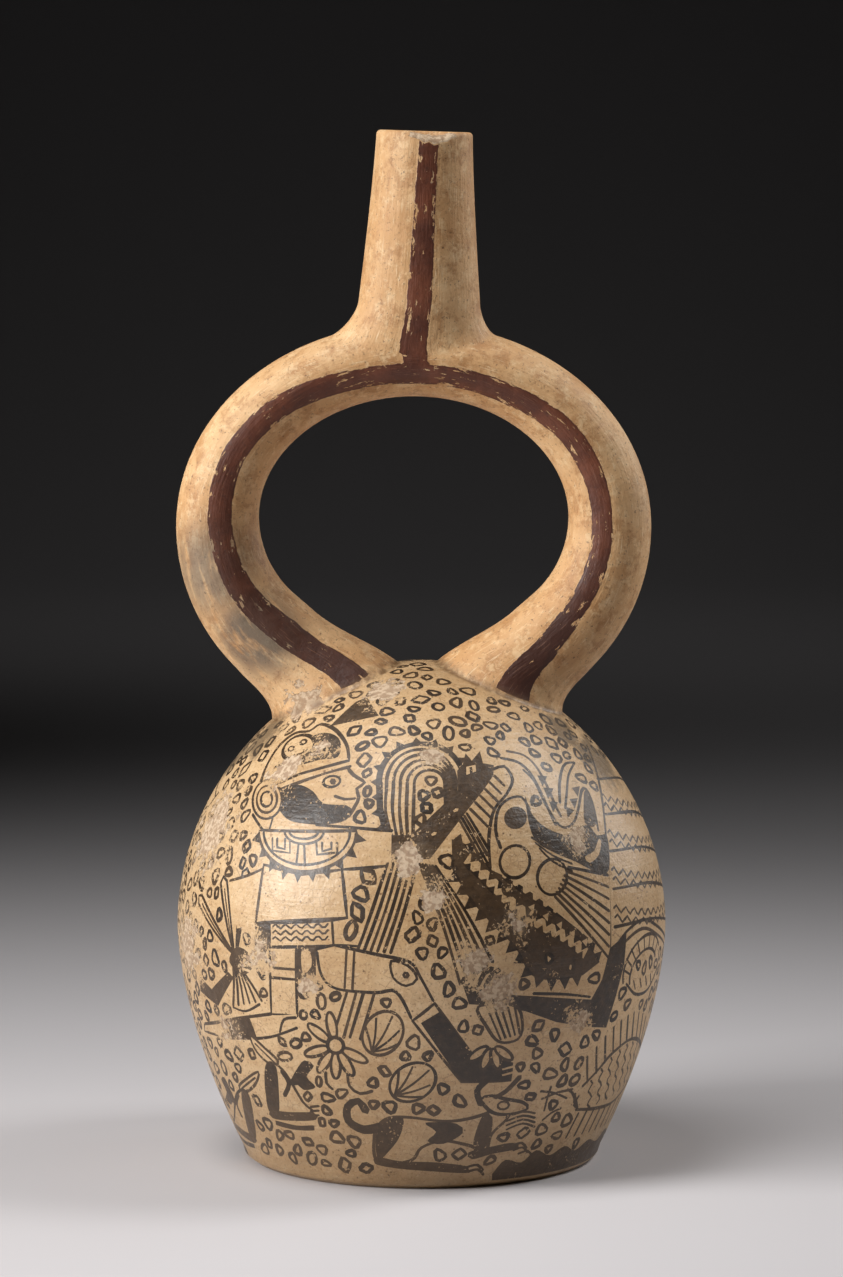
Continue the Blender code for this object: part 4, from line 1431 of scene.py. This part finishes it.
def build_stirrup_bore(skin, hole_places, hole_names):
    """The tube's bore, from the spout's bore down both legs into the chamber."""
    girth = TUBE_DEPTH_TOP - TUBE_WALL
    sheet = tube_sheet(stirrup_runs(INNER_STEPS), INNER_SIDES, girth, hole_places, 1.2)
    flat, triangles, hole_numbers = sheet
    points = STIRRUP.surface(flat[:, 0], flat[:, 1] / girth, TUBE_WALL)
    names = skin.add_points(points, stirrup=1.0)
    for number, name in zip(hole_numbers, hole_names):
        names[number] = name
    first = len(skin.faces)
    add_tube(skin, flat, triangles, names, girth, "stirrup_bore")
    skin.flip_from(first)
    turns = turns_of(INNER_SIDES)
    leg_names, leg_loops = [], []
    for side in (-1, 1):
        end = side * STIRRUP.length
        ends = [bore_end(side, turn) for turn in turns]
        rings = [end_ring(flat, names, end, INNER_SIDES, girth), skin.add_points(ends)]
        first = len(skin.faces)
        skin.loft(rings, "stirrup_bore", turns, [end, end * 1.1])
        if side == 1:
            skin.flip_from(first)
        leg_names.append(rings[1])
        leg_loops.append(np.array([INNER_WALL.flat(point.x, point.y) for point in ends]))
    return leg_names, leg_loops


def build_chamber_hollow(skin, leg_names, leg_loops):
    rim = chamber_loop(INNER_WALL, HOLLOW_POINTS)
    rounded = [anticlockwise(loop) for loop in leg_loops]
    spare = chamber_spare(INNER_WALL, INNER_STEP, rounded, 3.0)
    flat, triangles, numbers = triangulate([rim] + leg_loops, [], spare)
    triangles, _ = kept_triangles(flat, triangles, rim, rounded)
    names = skin.add_points(INNER_WALL.surface(flat))
    for loop, known in zip(numbers[1:], leg_names):
        for number, name in zip(loop, known):
            names[number] = name
    first = len(skin.faces)
    places = chamber_places(INNER_WALL, flat)
    for corners in triangles.tolist():
        skin.add_face(tuple(names[k] for k in corners), [places[k] for k in corners], "hollow")
    ring = [names[k] for k in numbers[0]]
    skin.close(ring, (0, 0, FLOOR_THICKNESS), "hollow_floor", turns_of(HOLLOW_POINTS), 10.0)
    skin.flip_from(first)


# Where the slip has gone and where soot lies, as (x, y, size) on the chamber
WORN_PATCHES = [
    (-29, 127, 5), (-43, 118, 7), (-76, 96, 15), (-86, 64, 13), (-49, 65, 7), (-32, 59, 4),
    (-63, 41, 7), (-3, 94, 6), (3, 126, 5), (4, 84, 5), (14, 66, 6), (21, 58, 6), (27, 76, 5),
    (47, 98, 5), (46, 47, 5), (-40, 141, 8), (-10, 152, 8), (150, 96, 14), (-170, 60, 15),
    (196, 120, 8), (-132, 100, 9), (128, 42, 9), (172, 28, 8), (-200, 30, 7),
]
SOOT_PATCHES = [(-82, 118, 9), (-60, 127, 8), (66, 119, 10), (50, 131, 7), (-110, 76, 10)]


def blotches(places, patches):
    """For each point, 1 at the middle of a patch and 0 outside them all."""
    share = np.zeros(len(places))
    brush = Brush(0.0, 1)
    for x, y, size in patches:
        centre = OUTER_WALL.surface(brush.spot(x, y))[0]
        gap = np.linalg.norm(places - centre, axis=1)
        share = np.maximum(share, 1 - gap / (1.6 * size))
    return share


# Where the patches lie on the unrolled sheet: discs as (middle x, middle y, scale), and strips as
# (x, y, scale of the length along them, scale of the turn)
DISCS = {
    "cap": (352, 208, 1.0),
    "underside": (146, 284, 1.0),
    "hollow": (282, 332, 0.2),
    "hollow_floor": (372, 290, 1.0),
}
STRIPS = {
    "stirrup": (150, 156 + math.pi * TUBE_DEPTH_TOP, 1.0, TUBE_DEPTH_TOP),
    "spout": (12, 240, 1.0, 14.5),
    "stirrup_bore": (270, 262 + math.pi * 4, 0.45, 4.0),
}


def map_place(patch, turn, along):
    """Where a place lies on the sheet of the unrolled skin, in millimetres."""
    if patch in DISCS:
        x, y, scale = DISCS[patch]
        return (x + scale * along * math.sin(turn), y - scale * along * math.cos(turn))
    if patch in STRIPS:
        x, y, along_scale, turn_scale = STRIPS[patch]
        return (x + along_scale * along, y + turn_scale * turn)
    if patch == "chamber":
        return (4 + (turn + math.pi) * BELLY_RADIUS, 4 + OUTER_WALL.length - along)
    return (198 + turn * 5, 320 - 0.5 * along)


def lay_out(mesh, skin):
    """Lays the skin out flat on a square sheet, each patch on its own, without overlaps."""
    flat_map = mesh.uv_layers.new(name="OFBake")
    corner = 0
    for places, number in zip(skin.places, skin.patch):
        patch = PATCHES[number]
        middle = sum(turn for turn, _ in places) / len(places)
        if patch in ("chamber", "stirrup", "stirrup_bore"):
            middle = math.remainder(places[0][0], TAU)
            places = [(middle + math.remainder(turn - middle, TAU), along) for turn, along in places]
        if patch == "chamber" and sum(along for _, along in places) < 3 * CAP_REACH:
            patch = "cap"
        for turn, along in places:
            x, y = map_place(patch, turn, along)
            flat_map.data[corner].uv = (x / SHEET, y / SHEET)
            corner += 1


def add_attribute(mesh, name, domain, values):
    mesh.attributes.new(name, "FLOAT", domain).data.foreach_set("value", values)


def mesh_of(skin):
    """The skin as a mesh in metres, without the points that no face uses."""
    used = sorted({name for face in skin.faces for name in face})
    number = {name: k for k, name in enumerate(used)}
    mesh = bpy.data.meshes.new("vessel_skin")
    corners = [[number[name] for name in face] for face in skin.faces]
    mesh.from_pydata([tuple(skin.points[name] * MM) for name in used], [], corners)
    places = np.array([skin.points[name] for name in used])
    worn = np.maximum(blotches(places, WORN_PATCHES), [on_chip(place) for place in places])
    for key in ("band", "stirrup", "crease"):
        values = getattr(skin, key)
        add_attribute(mesh, key, "POINT", [values[name] for name in used])
    add_attribute(mesh, "worn", "POINT", worn)
    add_attribute(mesh, "soot", "POINT", blotches(places, SOOT_PATCHES))
    for key in ("paint", "tone"):
        add_attribute(mesh, key, "FACE", [float(value) for value in getattr(skin, key)])
    unseen = [PATCHES.index(name) for name in UNSEEN_PATCHES]
    mesh.polygons.foreach_set("material_index", [int(patch in unseen) for patch in skin.patch])
    mesh.shade_smooth()
    known = {name: normal for name, normal in skin.normals.items() if skin.crease[name] > BLEND_CREASE}
    mesh.normals_split_custom_set_from_vertices([known.get(name, (0, 0, 0)) for name in used])
    lay_out(mesh, skin)
    return mesh


def build_vessel():
    skin = Skin()
    rim_names, leg_names = build_chamber_outside(skin)
    build_underside(skin, rim_names)
    foot_names = build_stirrup_outside(skin, leg_names)
    lip_names = build_spout_outside(skin, foot_names)
    build_bore(skin, lip_names)
    mesh = mesh_of(skin)
    piece = bpy.data.objects.new("painted_vessel", mesh)
    bpy.context.scene.collection.objects.link(piece)
    return piece


# Materials


def screen(red, green, blue):
    """A colour given as it shows on a screen, from 0 to 255."""
    def light(value):
        share = value / 255
        return share / 12.92 if share <= 0.04045 else ((share + 0.055) / 1.055) ** 2.4
    return (light(red), light(green), light(blue), 1.0)


class Clay:
    """A material's nodes. Sizes of patterns are in millimetres."""

    def __init__(self, name):
        self.material = bpy.data.materials.new(name)
        self.material.use_nodes = True
        self.tree = self.material.node_tree
        self.tree.nodes.clear()
        self.surface = self.tree.nodes.new("ShaderNodeBsdfPrincipled")
        self.add("OutputMaterial", {"Surface": self.surface.outputs[0]})
        self.place = self.scaled(self.add("TexCoord")["Object"], 1 / MM)
        self.height = self.add("SeparateXYZ", {0: self.place})["Z"]
        self.unrolled = self.scaled(self.add("UVMap", uv_map="OFBake")["UV"], SHEET)

    def set(self, node, name, value):
        """Sets a node's input to a constant, or links it to another node."""
        if isinstance(value, bpy.types.NodeSocket):
            self.tree.links.new(value, node.inputs[name])
        else:
            node.inputs[name].default_value = value

    def add(self, kind, inputs=(), **settings):
        """Adds a node and returns its outputs."""
        node = self.tree.nodes.new("ShaderNode" + kind)
        for name, value in settings.items():
            setattr(node, name, value)
        for name, value in dict(inputs).items():
            self.set(node, name, value)
        return node.outputs

    def scaled(self, vector, scale):
        return self.add("VectorMath", {0: vector, "Scale": scale}, operation="SCALE")[0]

    def attribute(self, name):
        return self.add("Attribute", attribute_name=name)["Fac"]

    def noise(self, size, detail=3.0, rough=0.55):
        inputs = {"Vector": self.place, "Scale": 1 / size, "Detail": detail, "Roughness": rough}
        return self.add("TexNoise", inputs)["Fac"]

    def streaks(self, along, across, detail=3.0, rough=0.6):
        """Noise drawn out along the unrolled skin's first direction."""
        shrink = {0: self.unrolled, 1: (1 / along, 1 / across, 0)}
        place = self.add("VectorMath", shrink, operation="MULTIPLY")[0]
        inputs = {"Vector": place, "Scale": 1, "Detail": detail, "Roughness": rough}
        return self.add("TexNoise", inputs, noise_dimensions="2D")["Fac"]

    def cells(self, size, feature="F1"):
        inputs = {"Vector": self.place, "Scale": 1 / size}
        return self.add("TexVoronoi", inputs, feature=feature)["Distance"]

    def near(self, point, full, none):
        """1 within a distance of a point, in millimetres, falling to 0 at a greater one."""
        gap = self.add("VectorMath", {0: self.place, 1: point}, operation="DISTANCE")["Value"]
        return self.ramp(gap, none, full)

    def ramp(self, value, low, high, start=0.0, end=1.0):
        inputs = {"Value": value, "From Min": low, "From Max": high, "To Min": start, "To Max": end}
        return self.add("MapRange", inputs, interpolation_type="SMOOTHSTEP")["Result"]

    def math(self, operation, first, second, clamp=False):
        return self.add("Math", {0: first, 1: second}, operation=operation, use_clamp=clamp)[0]

    def times(self, first, second):
        return self.math("MULTIPLY", first, second)

    def plus(self, first, second):
        return self.math("ADD", first, second)

    def less(self, first, second):
        return self.math("SUBTRACT", first, second, clamp=True)

    def blend(self, share, first, second):
        return self.add("Mix", {"Factor": share, 6: first, 7: second}, data_type="RGBA")[2]

    def mixed(self, pattern, low, high, first, second):
        """Two screen colours, mixed by a pattern between two of its values."""
        return self.blend(self.ramp(pattern, low, high), screen(*first), screen(*second))

    def tinted(self, colour, *tints):
        """A colour under tints, each given as (pattern, low, high, strength, screen colour)."""
        for pattern, low, high, strength, tint in tints:
            share = self.times(self.ramp(pattern, low, high), strength)
            colour = self.blend(share, colour, screen(*tint))
        return colour

    def bump(self, height, distance):
        inputs = {"Height": height, "Strength": 1.0, "Distance": distance * MM}
        self.set(self.surface, "Normal", self.add("Bump", inputs)[0])


def cream_ground(clay):
    """The chamber's cream slip: mottled, streaked by burnishing, finely specked and crazed."""
    ground = clay.mixed(clay.noise(34, 3.0), 0.38, 0.64, (194, 158, 114), (208, 174, 131))
    ground = clay.tinted(
        ground,
        (clay.noise(2.6, 4.0, 0.7), 0.46, 0.72, 0.5, (172, 132, 88)),
        (clay.streaks(26, 2.2), 0.5, 0.72, 0.25, (222, 194, 154)),
        (clay.noise(1.2, 3.0, 0.65), 0.56, 0.68, 0.4, (226, 200, 162)),
        (clay.noise(0.7, 2.0, 0.6), 0.57, 0.68, 0.55, (136, 100, 62)),
    )
    crazing = clay.ramp(clay.cells(2.7, "DISTANCE_TO_EDGE"), 0.05, 0.012)
    crazing = clay.times(crazing, clay.ramp(clay.noise(8, 3.0), 0.46, 0.7, 0.0, 0.5))
    ground = clay.blend(crazing, ground, screen(118, 86, 56))
    specks = clay.times(clay.ramp(clay.cells(2.1), 0.18, 0.1), clay.ramp(clay.noise(7, 2.0), 0.46, 0.56))
    return clay.blend(clay.times(specks, 0.8), ground, screen(98, 72, 46))


def stirrup_ground(clay):
    """The stirrup's warmer slip: wiped, blotched, chalky, stained, scratched, cracked and pitted."""
    ground = clay.mixed(clay.noise(20, 3.0), 0.36, 0.66, (204, 156, 104), (222, 180, 130))
    return clay.tinted(
        ground,
        (clay.streaks(24, 3.4, 4.0, 0.7), 0.48, 0.72, 0.3, (180, 126, 74)),
        (clay.noise(7.5, 6.0, 0.78), 0.48, 0.62, 0.6, (166, 114, 64)),
        (clay.noise(4.2, 6.0, 0.8), 0.5, 0.64, 0.6, (233, 199, 152)),
        (clay.noise(3.0, 6.0, 0.8), 0.57, 0.68, 0.65, (134, 92, 54)),
        (clay.streaks(7, 0.4, 3.0), 0.65, 0.71, 0.55, (240, 214, 172)),
        (clay.streaks(11, 0.8, 5.0, 0.75), 0.7, 0.74, 0.5, (104, 72, 44)),
        (clay.noise(0.9, 3.0, 0.7), 0.61, 0.68, 0.7, (96, 68, 42)),
    )


def brown_band(clay, ground):
    """Lays the brown band on the stirrup, with uneven edges, chips, scratches and grime."""
    inside = clay.attribute("band")
    uneven = clay.times(clay.plus(clay.noise(2.6, 4.0, 0.6), -0.5), 1.1)
    depth = clay.plus(inside, uneven)
    drawn_out = clay.times(clay.streaks(4.5, 1.2, 4.0, 0.65), 0.8)
    drawn_out = clay.plus(drawn_out, clay.times(clay.noise(13, 2.0), 0.4))
    near_edge = clay.ramp(inside, 2.6, 0.0, 0.0, 0.08)
    chips = clay.ramp(clay.plus(drawn_out, near_edge), 0.755, 0.775)
    cover = clay.less(clay.ramp(depth, -0.08, 0.1), chips)
    paint = clay.mixed(clay.noise(9, 4.0), 0.35, 0.7, (86, 40, 19), (114, 60, 35))
    paint = clay.blend(clay.ramp(clay.height, 186, 150, 0.0, 0.7), paint, screen(54, 27, 16))
    paint = clay.tinted(
        paint,
        (clay.streaks(7, 0.3, 2.0), 0.66, 0.74, 0.35, (158, 112, 84)),
        (depth, 0.9, 0.1, 0.3, (58, 26, 18)),
        (clay.noise(1.6, 4.0, 0.7), 0.56, 0.66, 0.4, (60, 34, 26)),
    )
    return clay.blend(cover, ground, paint), cover


def line_paint(clay, ground):
    """Lays the dark line painting on the chamber, thin in places and flaked where it is worn."""
    flaking = clay.times(clay.noise(0.8, 3.0, 0.65), 0.62)
    flaking = clay.plus(flaking, clay.times(clay.noise(5.5, 3.0, 0.6), 0.48))
    flakes = clay.ramp(clay.plus(flaking, clay.times(clay.attribute("worn"), 0.2)), 0.665, 0.69)
    cover = clay.less(clay.attribute("paint"), clay.times(flakes, 0.9))
    depth = clay.plus(clay.times(clay.attribute("tone"), 0.3), clay.times(clay.noise(1.8, 4.0, 0.7), 0.9))
    paint = clay.mixed(depth, 0.35, 0.85, (42, 30, 19), (80, 60, 40))
    return clay.blend(cover, ground, paint), cover


def wear_and_crease_shade(clay, colour, band):
    """Bare patches where the slip has gone, soot, a grey fire cloud and painted shade in the creases."""
    worn = clay.attribute("worn")
    ragged = clay.plus(clay.times(clay.noise(3.4, 4.0, 0.66), 0.75), clay.times(clay.noise(10, 2.0), 0.5))
    bare = clay.ramp(clay.plus(clay.times(worn, 0.5), ragged), 0.945, 0.96)
    bare_colour = clay.mixed(clay.noise(1.3, 3.0), 0.42, 0.58, (158, 130, 104), (204, 180, 152))
    colour = clay.blend(clay.times(bare, 0.9), colour, bare_colour)
    rubbed = clay.times(clay.ramp(worn, 0.1, 0.7), clay.ramp(clay.noise(6, 4.0, 0.7), 0.42, 0.6))
    colour = clay.blend(clay.times(rubbed, 0.22), colour, screen(186, 160, 130))
    soot = clay.plus(clay.attribute("soot"), clay.times(clay.noise(6.0, 6.0, 0.75), 1.4))
    colour = clay.tinted(colour, (soot, 0.95, 1.3, 0.7, (80, 68, 54)))
    upper = clay.times(clay.near((-60, -12, 168), 4, 21), 0.85)
    cloud = clay.math("MAXIMUM", clay.near((-46, -13, 150), 5, 18), upper)
    cloud = clay.times(cloud, clay.ramp(clay.streaks(16, 4.0, 4.0), 0.22, 0.5))
    cloud = clay.times(cloud, clay.ramp(band, 0.0, 1.0, 1.0, 0.15))
    colour = clay.blend(clay.times(cloud, 0.85), colour, screen(96, 88, 78))
    haze = clay.times(clay.near((74, -14, 196), 6, 26), clay.ramp(clay.noise(9, 5.0, 0.7), 0.36, 0.6))
    colour = clay.blend(clay.times(haze, 0.4), colour, screen(120, 104, 84))
    # Painted shade: the slip darkens in the creases where the legs meet the chamber.
    crease_shade = clay.ramp(clay.noise(2.6, 4.0), 0.3, 0.6)
    crease_shade = clay.times(clay.ramp(clay.attribute("crease"), 2.4, 0.0), crease_shade)
    return clay.blend(clay.times(crease_shade, 0.75), colour, screen(104, 74, 46)), bare


def painted_foot_shade(clay):
    """How far the slip is darkened towards the foot by painted shade, from nothing at 50 mm up."""
    mottled = clay.ramp(clay.noise(14, 4.0, 0.65), 0.25, 0.75, 0.6, 1.0)
    return clay.times(clay.ramp(clay.height, 50, 4, 0.0, 0.42), mottled)


def slipware():
    """The painted and burnished outside."""
    clay = Clay("slipware")
    on_stirrup = clay.attribute("stirrup")
    chamber, paint = line_paint(clay, cream_ground(clay))
    stirrup, band = brown_band(clay, stirrup_ground(clay))
    colour, bare = wear_and_crease_shade(clay, clay.blend(on_stirrup, chamber, stirrup), band)
    # Painted shade: the slip darkens towards the foot.
    colour = clay.blend(painted_foot_shade(clay), colour, screen(96, 74, 50))
    clay.set(clay.surface, "Base Color", colour)
    sheen = clay.plus(clay.times(clay.noise(4.0, 4.0, 0.7), 0.3), 0.26)
    dull = clay.times(on_stirrup, clay.ramp(band, 0.0, 1.0, 0.22, 0.12))
    dull = clay.plus(clay.times(bare, 0.3), dull)
    clay.set(clay.surface, "Roughness", clay.plus(sheen, dull))
    clay.set(clay.surface, "Specular IOR Level", 0.6)
    grain = clay.plus(clay.times(clay.noise(0.6, 3.0, 0.6), 0.3), clay.times(clay.noise(7.0, 3.0), 1.6))
    films = clay.plus(clay.times(paint, 0.1), clay.times(band, 0.25))
    wiped = clay.times(clay.streaks(18, 1.1, 3.0), clay.plus(clay.times(on_stirrup, 0.2), 0.25))
    clay.bump(clay.plus(clay.plus(grain, films), clay.plus(wiped, clay.times(bare, -0.6))), 0.3)
    return clay.material


def bare_clay():
    """The unslipped inside and underside."""
    clay = Clay("bare_clay")
    colour = clay.mixed(clay.noise(16, 4.0), 0.35, 0.65, (176, 128, 88), (203, 164, 122))
    colour = clay.tinted(colour, (clay.noise(1.4, 4.0, 0.7), 0.62, 0.72, 0.6, (104, 76, 52)))
    clay.set(clay.surface, "Base Color", colour)
    clay.set(clay.surface, "Roughness", 0.85)
    clay.bump(clay.noise(1.2, 5.0, 0.7), 0.4)
    return clay.material


# The setting, in metres

FLOOR_DEPTH = 1.8
SWEEP = 1.2
SWEEP_STEPS = 18
ROOM_HEIGHT = 3.0
ROOM_HALF_WIDTH = 6.0
CAMERA_DISTANCE = 1.4
CAMERA_HEIGHT = 0.29
CAMERA_TILT = math.radians(5.8)

# The camera's frame and lens, in millimetres
SENSOR = 36.0
LENS = 140.28


def add_floor():
    """A pale sheet that runs back from the vessel and curves up behind it."""
    profile = [(-ROOM_HALF_WIDTH, 0.0), (FLOOR_DEPTH, 0.0)]
    for k in range(1, SWEEP_STEPS + 1):
        turn = math.radians(90 / SWEEP_STEPS * k)
        profile.append((FLOOR_DEPTH + SWEEP * math.sin(turn), SWEEP - SWEEP * math.cos(turn)))
    profile.append((FLOOR_DEPTH + SWEEP, ROOM_HEIGHT))
    mesh = bpy.data.meshes.new("floor")
    corners = [(x, y, z) for y, z in profile for x in (-ROOM_HALF_WIDTH, ROOM_HALF_WIDTH)]
    faces = [(2 * k, 2 * k + 1, 2 * k + 3, 2 * k + 2) for k in range(len(profile) - 1)]
    mesh.from_pydata(corners, [], faces)
    mesh.polygons.foreach_set("use_smooth", [True] * len(faces))
    floor = bpy.data.objects.new("floor", mesh)
    bpy.context.scene.collection.objects.link(floor)
    material = bpy.data.materials.new("pale_paper")
    material.use_nodes = True
    shader = material.node_tree.nodes["Principled BSDF"]
    shader.inputs["Base Color"].default_value = screen(191, 187, 188)
    shader.inputs["Roughness"].default_value = 0.9
    mesh.materials.append(material)


def add_light(name, place, aim, size, power, spread):
    """A square light, by its place, what it points at, its side, its power in watts, and how wide it
    spreads, in degrees."""
    data = bpy.data.lights.new(name, "AREA")
    data.size = size
    data.energy = power
    data.spread = math.radians(spread)
    light = bpy.data.objects.new(name, data)
    light.location = place
    light.rotation_euler = (Vector(place) - Vector(aim)).to_track_quat("Z", "Y").to_euler()
    bpy.context.scene.collection.objects.link(light)


def add_lights():
    """A soft key near on the left, one overhead, two weaker on the right, one on the backdrop."""
    add_light("key", (-0.8, -0.35, 0.45), (0, -0.1, 0.1), 0.4, 2.55, 90)
    add_light("overhead", (-0.35, -0.3, 1.3), (0, -0.2, 0.1), 0.5, 1.5, 70)
    add_light("right", (0.8, 0.1, 0.95), (0, -0.1, 0.15), 0.4, 0.8, 60)
    add_light("right_rim", (0.9, 0.5, 0.4), (0, -0.05, 0.1), 0.4, 0.28, 60)
    add_light("backdrop", (0, 0.9, 0.9), (0, 1.9, 0.0), 0.5, 0.15, 80)
    world = bpy.data.worlds.new("dim_room")
    world.use_nodes = True
    world.node_tree.nodes["Background"].inputs["Color"].default_value = screen(40, 40, 39)
    world.node_tree.nodes["Background"].inputs["Strength"].default_value = 0.25
    bpy.context.scene.world = world
    bpy.context.scene.view_settings.view_transform = "Standard"


def add_camera():
    """Looks slightly down on the front, as the photograph does."""
    data = bpy.data.cameras.new("camera")
    data.sensor_fit = "VERTICAL"
    data.sensor_height = SENSOR
    data.lens = LENS
    camera = bpy.data.objects.new("camera", data)
    camera.location = (0, -CAMERA_DISTANCE, CAMERA_HEIGHT)
    camera.rotation_euler = (math.pi / 2 - CAMERA_TILT, 0, 0)
    bpy.context.scene.collection.objects.link(camera)
    bpy.context.scene.camera = camera


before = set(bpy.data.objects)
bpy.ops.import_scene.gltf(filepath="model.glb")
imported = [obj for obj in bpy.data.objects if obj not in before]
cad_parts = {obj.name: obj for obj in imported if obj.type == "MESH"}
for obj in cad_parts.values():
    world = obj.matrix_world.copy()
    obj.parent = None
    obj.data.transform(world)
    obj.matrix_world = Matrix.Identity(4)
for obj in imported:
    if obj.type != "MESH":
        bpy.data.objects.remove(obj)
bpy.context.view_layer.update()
vessel = build_vessel()
vessel.data.materials.append(slipware())
vessel.data.materials.append(bare_clay())
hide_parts("vessel")
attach(vessel, "root")
add_floor()
add_lights()
add_camera()
